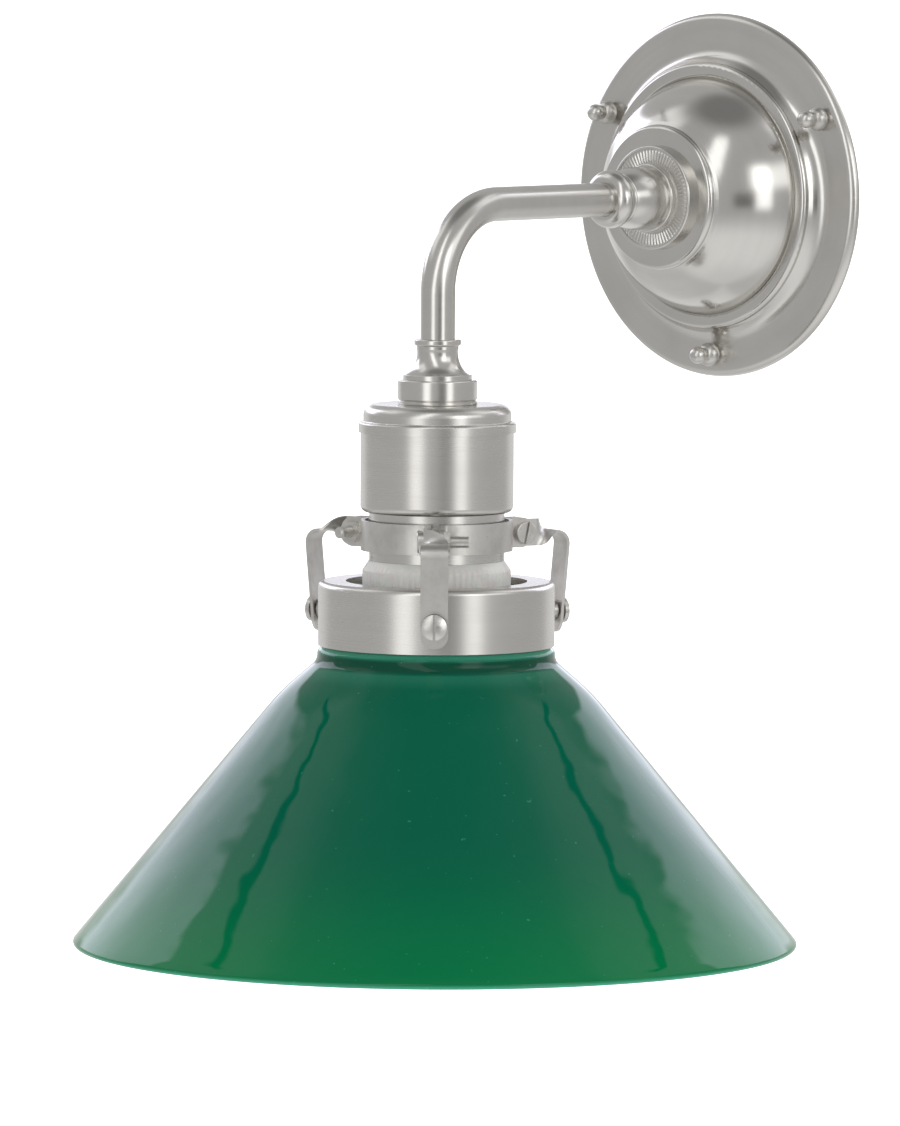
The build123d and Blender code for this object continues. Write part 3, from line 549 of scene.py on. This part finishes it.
class MetalSettings(PropertyGroup):
    """Tones of the plated and bare metals, and where the plate's polish ends."""

    flange: length_property("Flange radius", "Past it the plate's polish is duller", 49.0 * MM)
    nickel: tone_property("Nickel", "Clean nickel plate", (0.66, 0.645, 0.615))
    nickel_dull: tone_property("Dull nickel", "Nickel under its film", (0.50, 0.485, 0.455))
    zinc: tone_property("Zinc", "Bright zinc on steel", (0.60, 0.62, 0.64))
    zinc_dull: tone_property("Dull zinc", "Zinc under its film", (0.42, 0.43, 0.45))
    brass: tone_property("Brass", "Bare brass", (0.78, 0.57, 0.27))
    brass_dull: tone_property("Browned brass", "Brass where it has browned", (0.42, 0.27, 0.12))
    alloy: tone_property("Cap alloy", "Aluminium of the lamp cap", (0.72, 0.72, 0.72))
    alloy_dull: tone_property("Dull alloy", "Aluminium under its film", (0.5, 0.5, 0.5))


class DiscSettings(PropertyGroup):
    """Disc in front of the wall plate."""

    reeds: IntProperty(
        name="Reeds", description="Radial reeds round the sunk band", default=72, min=12
    )
    reed_height: length_property("Reed height", "How far a reed stands up in the band", 0.35 * MM)
    rim: length_property("Rim", "Width of the raised rim", 1.1 * MM)
    band_inner: length_property("Band inner radius", "Where the sunk band begins", 12.5 * MM)
    band_depth: length_property("Band depth", "How far the band is sunk", 0.6 * MM)
    bore: length_property("Bore", "Radius of the hole for the threaded tube", 5.05 * MM)


class SkirtSettings(PropertyGroup):
    """White ring under the lampholder's sleeve."""

    overhang: length_property("Overhang", "From the sleeve out to the ring's wall", 2.3 * MM)
    ceiling: length_property("Ceiling", "Thickness of the ring's top under the sleeve", 1.0 * MM)
    ribs: IntProperty(name="Ribs", description="Grip ribs round the ring", default=72, min=12)
    rib_depth: length_property("Rib depth", "Depth of the grooves between ribs", 0.3 * MM)
    wall: length_property("Wall", "Thickness of the ring", 3.0 * MM)
    shoulder: length_property("Shoulder", "Height of the sloping top", 3.4 * MM)
    spigot_wall: length_property("Spigot wall", "Thickness of the spigot in the sleeve", 2.0 * MM)
    spigot_gap: length_property("Spigot gap", "Between the spigot and the sleeve", 0.1 * MM)
    sleeve_sheet: length_property("Sleeve sheet", "Thickness of the sleeve's metal", 1.0 * MM)
    tone: tone_property("White", "The moulding's white", (0.84, 0.83, 0.80))
    tone_dusty: tone_property("Dusty white", "The white where dust lies", (0.62, 0.60, 0.56))


class GallerySettings(PropertyGroup):
    """Threads of the ear screws."""

    thread_radius: length_property("Thread radius", "Outside of the thread", 2.0 * MM)
    thread_pitch: length_property("Thread pitch", "From crest to crest", 0.7 * MM)
    thread_depth: length_property("Thread depth", "From crest to root", 0.4 * MM)
    screw_circle: length_property("Screw circle", "Ear screws from the shade's axis", 32.5 * MM)
    thread_start: length_property("Thread start", "From the ear's middle, past the nut", 5.2 * MM)
    thread_end: length_property("Thread end", "From the ear's middle, the screw's tip", 11.5 * MM)
    thread_proud: length_property("Thread stand", "Thread past the plain screw", 0.02 * MM)
    first_bearing: angle_property("First bearing", "Bearing of the first arm", -48.7)


class ShadeSettings(PropertyGroup):
    """Glass cone."""

    wall: length_property("Wall", "Thickness of the glass", 3.0 * MM)
    casing: length_property("Casing", "Thickness of the green layer at the rim", 1.1 * MM)
    waist: length_property("Waist radius", "Narrowest part, where the screws hold", 36.2 * MM)
    lip: length_property("Lip radius", "Rolled lip above the screws", 39.0 * MM)
    lip_height: length_property("Lip height", "Height of the rolled lip", 6.7 * MM)
    waist_height: length_property("Waist height", "Height of the straight waist", 9.8 * MM)
    collar: length_property("Collar radius", "Swell below the gallery ring", 41.3 * MM)
    collar_gap: length_property("Collar gap", "Ring to the top of the swell", 1.9 * MM)
    collar_height: length_property("Collar height", "Height of the swell", 3.6 * MM)
    shoulder: length_property("Shoulder radius", "Where the cone begins", 54.4 * MM)
    shoulder_drop: length_property("Shoulder drop", "Swell to where the cone begins", 14.8 * MM)
    shoulder_bend: length_property("Shoulder bend", "Rounding where the cone begins", 70.0 * MM)
    rim_corner: length_property("Rim corner", "Cone's corner past its rounded edge", 1.47 * MM)
    rim_rounding: length_property("Rim rounding", "Rounding of the rim's edges", 1.3 * MM)
    deep: tone_property("Deep green", "Green at the shoulder", (0.0, 0.132, 0.070))
    bright: tone_property("Bright green", "Green near the rim", (0.0, 0.205, 0.066))
    edge: tone_property("Edge green", "Green where light comes through", (0.10, 0.50, 0.33))
    white: tone_property("Opal white", "White inside", (0.86, 0.87, 0.85))
    white_shadow: tone_property("Opal shade", "White in the thicker cords", (0.81, 0.83, 0.81))


class OtherSettings(PropertyGroup):
    """Tones of the parts that are neither metal nor shade."""

    porcelain: tone_property("Porcelain", "Glazed porcelain", (0.80, 0.77, 0.70))
    porcelain_dull: tone_property("Porcelain body", "Where the glaze is thin", (0.62, 0.58, 0.50))
    block: tone_property("Block", "Nylon of the terminal block", (0.70, 0.68, 0.62))
    block_dull: tone_property("Block flow", "Flow marks of the block", (0.58, 0.56, 0.50))
    sheath: tone_property("Sheath", "Sheath of the flex", (0.78, 0.77, 0.74))
    sheath_dull: tone_property("Sheath scuff", "Scuffed sheath", (0.55, 0.54, 0.51))
    lamp: tone_property("Lamp", "Opal glass of the lamp", (0.86, 0.85, 0.82))
    lamp_dull: tone_property("Lamp shade", "Thicker glass of the lamp", (0.76, 0.75, 0.72))


class StageSettings(PropertyGroup):
    """Floor, light and the photograph's viewpoint."""

    floor_drop: length_property("Floor drop", "Floor below the middle of the wall plate", 1.75)
    floor_radius: length_property("Floor radius", "From the light to the end of the floor", 16.0)
    wall_height: length_property("Wall height", "Height that the floor's edge turns up to", 10.0)
    bearing: angle_property("Bearing", "Camera's bearing from straight in front", 41.32)
    distance: length_property("Distance", "Camera to the aim point, level", 3.228)
    aim_depth: length_property("Aim depth", "Aim point out of the wall", 0.080)
    height: length_property("Height", "Camera above the middle of the wall plate", 0.1306)
    yaw: angle_property("Yaw", "Camera turned to its left from the aim point", 0.75)
    pitch: angle_property("Pitch", "Camera tipped down", 4.58)
    roll: angle_property("Roll", "Camera turned about its line of sight", 0.29)
    lens: FloatProperty(
        name="Lens", description="Focal length", default=293.4, unit="CAMERA", min=10.0
    )


# ---- operators ----------------------------------------------------------------------------
class WALLLIGHT_OT_plate(Operator):
    """Finish the wall plate, its bracket and its knobs"""

    bl_idname = "walllight.plate"
    bl_label = "Plate and bracket"

    def execute(self, context):
        metal = context.scene.walllight_metal
        tones = (metal.nickel, metal.nickel_dull)
        polish = {"roughness": 0.16, "mark": 0.04, "duller_past": metal.flange}
        polished = nickel("plate_nickel", "about_arm", *tones, **polish)
        dress(polished, "wall_plate")
        knobs = cast_nickel("knob_nickel", *tones)
        dress(knobs, "knob_right", "knob_left", "knob_bottom")
        zinc = bright_zinc("bracket_zinc", metal.zinc, metal.zinc_dull)
        dress(zinc, "wall_bracket", "fixing_studs", "arm_nipple", "back_washer", "back_nut")
        dress(zinc, "lower_nipple", "cap_nut")
        return {"FINISHED"}


class WALLLIGHT_OT_disc(Operator):
    """Make the reeded disc in front of the plate"""

    bl_idname = "walllight.disc"
    bl_label = "Boss disc"

    def execute(self, context):
        metal = context.scene.walllight_metal
        disc = context.scene.walllight_disc
        tones = (metal.nickel, metal.nickel_dull)
        finish = nickel("disc_nickel", "about_arm", *tones, roughness=0.22, mark=0.05, grain=0.3)
        back = -disc_high.y
        face = -disc_low.y
        outer = disc_high.x
        inner_rim = outer - disc.rim
        floor = face - disc.band_depth
        outer_edge, inner_edge, foot, lip = 0.6 * MM, 0.3 * MM, 0.2 * MM, 0.1 * MM
        outline = rounded_outline([
            (disc.bore, back, 0),
            (outer, back, 0),
            (outer, face, outer_edge),
            (inner_rim, face, inner_edge),
            (inner_rim, floor, foot),
            (disc.band_inner, floor, foot),
            (disc.band_inner, face, lip),
            (disc.bore, face, 0),
        ])
        line = densified(outline, 0.35 * MM)
        # reeds stand on the band's floor and die away at both of its edges
        radius = line[:, :1]
        height = line[:, 1:]
        turned = angles(disc.reeds * 8)
        middle = (inner_rim + disc.band_inner) / 2
        half = (inner_rim - disc.band_inner) / 2
        swell = np.clip(1.25 * (1 - (np.abs(radius - middle) / half) ** 4), 0, 1)
        on_floor = np.abs(height - floor) < 0.05 * MM
        reed = 0.5 - 0.5 * np.cos(disc.reeds * turned)
        raised = height + disc.reed_height * swell * on_floor * reed
        grid = on_arm(radius + 0 * turned, turned, raised)
        piece = make_piece("disc_reeded", [grid], "fixture", [finish], 40)
        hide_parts("boss_disc")
        return {"FINISHED"}


class WALLLIGHT_OT_arm(Operator):
    """Finish the collar, the swan neck and the ferrule"""

    bl_idname = "walllight.arm"
    bl_label = "Arm"

    def execute(self, context):
        metal = context.scene.walllight_metal
        tones = (metal.nickel, metal.nickel_dull)
        for node, parts_of, roughness, mark in (
            ("arm_collar", "about_arm", 0.2, 0.05),
            ("swan_neck", "about_arm", 0.22, 0.03),
            ("ferrule", "about_drop", 0.22, 0.06),
        ):
            name = f"{node.split('_')[-1]}_nickel"
            dress(nickel(name, parts_of, *tones, roughness, mark, grain=0.1), node)
        return {"FINISHED"}


class WALLLIGHT_OT_holder(Operator):
    """Finish the lampholder's shells and what is inside them"""

    bl_idname = "walllight.holder"
    bl_label = "Lampholder"

    def execute(self, context):
        metal = context.scene.walllight_metal
        other = context.scene.walllight_other
        tones = (metal.nickel, metal.nickel_dull)
        shells = nickel("holder_nickel", "about_drop", *tones, roughness=0.27, mark=0.06, grain=0.1)
        dress(shells, "holder_cap", "holder_cover", "holder_sleeve")
        core = glazed_porcelain("core_porcelain", other.porcelain, other.porcelain_dull)
        dress(core, "lampholder_core")
        brass = contact_brass("contact_brass", metal.brass, metal.brass_dull)
        dress(brass, "screw_shell", "centre_contact")
        return {"FINISHED"}


class WALLLIGHT_OT_wiring(Operator):
    """Finish the terminal block, its screws and the flex"""

    bl_idname = "walllight.wiring"
    bl_label = "Wiring"

    def execute(self, context):
        metal = context.scene.walllight_metal
        other = context.scene.walllight_other
        dress(block_plastic("block_nylon", other.block, other.block_dull), "terminal_block")
        dress(flex_sheath("sheath", other.sheath, other.sheath_dull), "inner_flex")
        brass = contact_brass("terminal_brass", metal.brass, metal.brass_dull)
        dress(brass, "terminal_screws", "earth_screw")
        return {"FINISHED"}


class WALLLIGHT_OT_skirt(Operator):
    """Make the white ribbed ring under the sleeve"""

    bl_idname = "walllight.skirt"
    bl_label = "Skirt ring"

    def execute(self, context):
        skirt = context.scene.walllight_skirt
        finish = white_moulding("skirt_white", skirt.tone, skirt.tone_dusty)
        outer = (skirt_high.x - skirt_low.x) / 2
        sleeve = outer - skirt.overhang
        seat = sleeve_low.z
        foot = skirt_low.z
        spigot = sleeve - skirt.sleeve_sheet - skirt.spigot_gap
        bore = spigot - skirt.spigot_wall
        inner = outer - skirt.wall
        edge, spigot_edge, seat_edge = 0.8 * MM, 0.4 * MM, 0.3 * MM
        inner_edge, bore_edge = 1.0 * MM, 0.5 * MM
        outline = rounded_outline([
            (bore, skirt_high.z, 0),
            (spigot, skirt_high.z, spigot_edge),
            (spigot, seat, 0),
            (sleeve, seat, seat_edge),
            (outer, seat - skirt.shoulder, edge),
            (outer, foot, edge),
            (inner, foot, edge),
            (inner, seat - skirt.shoulder, inner_edge),
            (bore, seat - skirt.ceiling, bore_edge),
        ])
        line = densified(outline, 0.7 * MM)
        radius = line[:, :1]
        height = line[:, 1:]
        turned = angles(skirt.ribs * 8)
        # grooves are cut into the outside only, deepest on the straight wall
        outside = radius > (outer + inner) / 2
        below = np.clip((seat - height) / skirt.shoulder, 0, 1)
        below = below * np.clip((height - foot) / MM, 0, 1)
        groove = (0.5 + 0.5 * np.cos(skirt.ribs * turned)) ** 1.5
        cut = skirt.rib_depth * outside * below * groove
        grid = on_drop(radius - cut, turned, height)
        piece = make_piece("skirt_ribbed", [grid], "fixture", [finish], 40)
        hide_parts("skirt_ring")
        return {"FINISHED"}


def bearings(gallery):
    """Bearings of the three arms."""
    return [gallery.first_bearing + TURN * step / 3 for step in range(3)]


def thread_grid(place, start, end, radius, pitch, depth, steps=20):
    """Threaded rod along the local Z of a place, as one grid closed by its end discs.

    The radius is radius - depth (1 + cos(angle - turns)) / 2, where turns is the full turns
    from the start times the length over the pitch, so that the crest winds up the rod.
    """
    rows = int((end - start) / pitch * 8)
    height = np.linspace(start, end, rows)[:, None]
    turned = angles(steps)
    runout = np.clip((end - height) / pitch, 0, 1)
    wave = 0.5 + 0.5 * np.cos(turned - TURN * height / pitch)
    rod = radius - depth * wave - depth * (1 - runout)
    rod = np.vstack([0 * turned, rod, 0 * turned])
    height = np.vstack([height[:1], height, height[-1:]])
    local = np.stack([rod * np.cos(turned), rod * np.sin(turned), height + 0 * turned], axis=-1)
    matrix = np.array(place)
    return local @ matrix[:3, :3].T + matrix[:3, 3]


class WALLLIGHT_OT_gallery(Operator):
    """Finish the clamp, the arms and the ring, and make the ear screws' threads"""

    bl_idname = "walllight.gallery"
    bl_label = "Gallery"

    def execute(self, context):
        metal = context.scene.walllight_metal
        gallery = context.scene.walllight_gallery
        tones = (metal.nickel, metal.nickel_dull)
        straps = strap_nickel("strap_nickel", *tones)
        dress(straps, *[f"collar_segment_{n}" for n in (1, 2, 3)])
        dress(straps, *[f"gallery_arm_{n}" for n in (1, 2, 3)])
        ring = nickel("ring_nickel", "about_drop", *tones, roughness=0.27, mark=0.05, grain=0.1)
        dress(ring, "gallery_ring")
        screws = cast_nickel("screw_nickel", *tones)
        dress(screws, "ear_screws", "ear_nuts", *[f"ring_screw_{n}" for n in (1, 2, 3)])
        middle = (clamp_low.z + clamp_high.z) / 2
        for number, bearing in enumerate(bearings(gallery), start=1):
            turned = Matrix.Rotation(bearing, 4, "Z")
            along = Matrix.Rotation(-math.pi / 2, 4, "X")
            centre = Matrix.Translation((0, -reach, middle)) @ turned
            place = centre @ Matrix.Translation((gallery.screw_circle, 0, 0)) @ along
            rod = thread_grid(
                place, gallery.thread_start, gallery.thread_end + gallery.thread_proud,
                gallery.thread_radius + gallery.thread_proud, gallery.thread_pitch,
                gallery.thread_depth,
            )
            thread = make_piece(f"ear_thread_{number}", [rod], "fixture", [screws], 50)
        return {"FINISHED"}


class WALLLIGHT_OT_shade(Operator):
    """Make the glass shade: green casing over white, in one closed shell"""

    bl_idname = "walllight.shade"
    bl_label = "Glass shade"

    def execute(self, context):
        shade = context.scene.walllight_shade
        green = green_glass("shade_green", shade.deep, shade.bright, shade.edge, 0.02)
        white = opal_glass("shade_white", shade.white, shade.white_shadow, 0.12)
        rim = (shade_high.x - shade_low.x) / 2
        top = shade_high.z
        foot = shade_low.z
        lip_foot = top - shade.lip_height
        waist_foot = lip_foot - shade.waist_height
        collar_top = ring_low.z - shade.collar_gap
        collar_foot = collar_top - shade.collar_height
        shoulder = collar_top - shade.shoulder_drop
        cone = math.atan2(rim - shade.shoulder, shoulder - foot)
        across = shade.wall / math.cos(cone)
        inner_shoulder = shade.shoulder - shade.wall * math.tan(math.pi / 4)
        inner = shade.waist - shade.wall
        outline = rounded_outline([
            (inner, top, 0.9 * MM),
            (shade.lip, top, 1.6 * MM),
            (shade.lip, lip_foot, 1.2 * MM),
            (shade.waist, lip_foot, 0.5 * MM),
            (shade.waist, waist_foot, 2.0 * MM),
            (shade.collar, collar_top, 2.0 * MM),
            (shade.collar + 0.2 * MM, collar_foot, 5.0 * MM),
            (shade.shoulder, shoulder, shade.shoulder_bend),
            (rim + shade.rim_corner, foot, shade.rim_rounding),
            (rim + shade.rim_corner - across, foot, shade.rim_rounding),
            (inner_shoulder, shoulder - 0.3 * MM, 12.0 * MM),
            (shade.collar - shade.wall, collar_foot - 1.2 * MM, 5.0 * MM),
            (shade.collar - shade.wall, collar_top - 0.5 * MM, 2.0 * MM),
            (inner, waist_foot - 1.2 * MM, 2.0 * MM),
        ], 9)
        line = densified(outline, 3.0 * MM)
        turned = angles(288)
        grid = on_drop(line[:, :1] + 0 * turned, turned, line[:, 1:])
        # outside is green from the lip down to the rim's casing, inside is white
        following = np.roll(line, -1, axis=0)
        middle = (line + following) / 2
        lowest = np.argmin(line[:, 1])
        order = np.arange(len(line))
        inside = (order > lowest) & (middle[:, 0] < rim - shade.casing)
        zones = np.repeat(inside.astype(np.int32), turned.shape[1])
        piece = make_piece("shade_glass", [grid], "fixture", [green, white], 60, zones)
        # the photographed plate doesn't mirror the shade
        piece.visible_glossy = False
        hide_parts("glass_shade")
        return {"FINISHED"}


class WALLLIGHT_OT_lamp(Operator):
    """Finish the lamp inside the shade"""

    bl_idname = "walllight.lamp"
    bl_label = "Lamp"

    def execute(self, context):
        metal = context.scene.walllight_metal
        other = context.scene.walllight_other
        dress(opal_glass("lamp_opal", other.lamp, other.lamp_dull, 0.1), "lamp_bulb")
        tones = (metal.alloy, metal.alloy_dull)
        cap = nickel("cap_alloy", "about_drop", *tones, roughness=0.3, mark=0.12, grain=0.2)
        dress(cap, "lamp_cap")
        return {"FINISHED"}


def studio_light(world, bearing):
    """Soft studio round the object, brightness by direction.

    Directions are taken from the photograph's viewpoint: the bearing 0 is towards the camera
    and grows to its right, and the rise is the angle above level, both in degrees. Two tall
    soft boxes lean in from the front, and pale walls stand at both sides. A bright, slightly
    cool backdrop hangs behind, lower towards its middle, with a thin dark slit above it. The
    ceiling is dim, and the table is pale up to its dark far edge.
    """
    world.use_nodes = True
    finish = Finish(world.node_tree)
    x, y, z = finish.split(finish.add("ShaderNodeTexCoord", None, None, 0))
    front = x * math.sin(bearing) - y * math.cos(bearing)
    side = x * math.cos(bearing) + y * math.sin(bearing)
    degrees = 180 / math.pi
    around = front.math("ARCTAN2", side, front) * degrees
    rise = z.math("ARCSINE", z) * degrees
    behind = around.size()
    room = 0.28 * (1 - rise.ramp(58, 76)) + 0.24
    table_edge = rise.window(-9, 3, 4) * around.window(4, 30, 6)
    table = (1 - rise.ramp(-38, -12)) * (1 - 0.35 * (1 - rise.ramp(-80, -55)))
    table = table * (1 - 0.6 * behind.window(75, 158, 15))
    side_walls = behind.window(78, 122, 8) * rise.window(30, 58, 7)
    sloping = rise + 0.5 * behind
    foot = 9 - 6 * behind.ramp(156, 170)
    backdrop = behind.ramp(117, 120) * (rise - foot).ramp(-2, 2) * (1 - sloping.ramp(97.3, 99.6))
    low_backdrop = behind.ramp(126, 142) * rise.window(-18, 9, 6)
    slit = behind.window(98, 128, 3) * (rise + 0.1 * behind).window(56.6, 58.4, 0.5)
    leaning = around - 0.37 * rise
    left_box = leaning.window(-39, -19, 3) * rise.window(-10, 56, 5)
    right_box = around.window(28, 46, 4) * rise.window(-10, 27, 5)
    right_wall = around.window(22, 76, 5) * rise.window(8, 27, 5)
    light = room * (1 - 0.7 * table_edge) + 0.40 * table + 0.6 * side_walls
    light = light + (1.9 - 0.5 * behind.ramp(140, 165)) * backdrop + 0.3 * low_backdrop
    light = light + 1.25 * left_box + 1.3 * right_box + 0.9 * right_wall
    light = light * (1 - 0.95 * slit)
    tint = finish.blend(backdrop, (1.0, 1.0, 1.0), (0.97, 0.96, 1.1))
    finish.feed(finish.tree.nodes["Background"], {"Strength": light, "Color": tint})


class WALLLIGHT_OT_stage(Operator):
    """Set the floor, the light and the camera of the photograph"""

    bl_idname = "walllight.stage"
    bl_label = "Stage and camera"

    def execute(self, context):
        stage = context.scene.walllight_stage
        self.make_floor(stage)
        world = bpy.data.worlds.new("studio")
        context.scene.world = world
        studio_light(world, stage.bearing)
        context.scene.view_settings.view_transform = "Standard"
        self.make_camera(context.scene, stage)
        return {"FINISHED"}

    def make_floor(self, stage):
        """Plain pale floor that turns up at its edge, so that no horizon shows behind the light.

        It shines back white, and only the camera sees it, so it lights nothing.
        """
        radius = stage.floor_radius * np.array([[0.0], [1.0], [1.0]])
        height = np.array([[-stage.floor_drop], [-stage.floor_drop], [stage.wall_height]])
        grid = on_drop(radius, angles(96), height)
        mesh = bpy.data.meshes.new("floor")
        mesh.from_pydata(grid.reshape(-1, 3).tolist(), [], grid_faces(3, 96, False, True).tolist())
        pale = SurfaceFinish("floor_white", roughness=0.9, emission_strength=1.0)
        pale.set(base_color=(0.8, 0.8, 0.8, 1.0), emission_color=(1.0, 1.0, 1.0, 1.0))
        mesh.materials.append(pale.material)
        floor = bpy.data.objects.new("floor", mesh)
        bpy.context.scene.collection.objects.link(floor)
        floor.visible_glossy = False
        floor.visible_diffuse = False
        floor.visible_shadow = False

    def make_camera(self, scene, stage):
        """Camera where the photograph was taken from, found from the plate and the rim."""
        level = Vector((math.sin(stage.bearing), -math.cos(stage.bearing), 0))
        data = bpy.data.cameras.new("camera")
        data.lens = stage.lens
        data.sensor_width = 36.0
        data.clip_start = 0.1
        data.clip_end = 100.0
        camera = bpy.data.objects.new("camera", data)
        place = Vector((0, -stage.aim_depth, stage.height)) + level * stage.distance
        look = (-level).to_track_quat("-Z", "Y").to_matrix().to_4x4()
        yaw = Matrix.Rotation(stage.yaw, 4, "Z")
        tip = Matrix.Rotation(-stage.pitch, 4, "X")
        roll = Matrix.Rotation(stage.roll, 4, "Z")
        camera.matrix_world = Matrix.Translation(place) @ yaw @ look @ tip @ roll
        scene.collection.objects.link(camera)
        scene.camera = camera


class WALLLIGHT_PT_panel(Panel):
    """Sizes, tones and the making of each group of pieces"""

    bl_idname = "WALLLIGHT_PT_panel"
    bl_label = "Wall light"
    bl_space_type = "VIEW_3D"
    bl_region_type = "UI"
    bl_category = "Wall light"

    def draw(self, context):
        for name, group in SETTINGS.items():
            box = self.layout.box()
            box.label(text=group.__doc__)
            settings = getattr(context.scene, name)
            for key in group.__annotations__:
                box.prop(settings, key)
        for operator in MAKERS:
            self.layout.operator(operator.bl_idname)


SETTINGS = {
    "walllight_metal": MetalSettings,
    "walllight_disc": DiscSettings,
    "walllight_skirt": SkirtSettings,
    "walllight_gallery": GallerySettings,
    "walllight_shade": ShadeSettings,
    "walllight_other": OtherSettings,
    "walllight_stage": StageSettings,
}

MAKERS = [
    WALLLIGHT_OT_plate,
    WALLLIGHT_OT_disc,
    WALLLIGHT_OT_arm,
    WALLLIGHT_OT_holder,
    WALLLIGHT_OT_wiring,
    WALLLIGHT_OT_skirt,
    WALLLIGHT_OT_gallery,
    WALLLIGHT_OT_shade,
    WALLLIGHT_OT_lamp,
    WALLLIGHT_OT_stage,
]


def register():
    for group in SETTINGS.values():
        bpy.utils.register_class(group)
    for name, group in SETTINGS.items():
        setattr(bpy.types.Scene, name, PointerProperty(type=group))
    for operator in MAKERS:
        bpy.utils.register_class(operator)
    bpy.utils.register_class(WALLLIGHT_PT_panel)


def unregister():
    bpy.utils.unregister_class(WALLLIGHT_PT_panel)
    for operator in reversed(MAKERS):
        bpy.utils.unregister_class(operator)
    for name, group in SETTINGS.items():
        delattr(bpy.types.Scene, name)
        bpy.utils.unregister_class(group)


def main():
    register()
    for operator in MAKERS:
        group, action = operator.bl_idname.split(".")
        getattr(getattr(bpy.ops, group), action)()


if __name__ == "__main__":
    main()
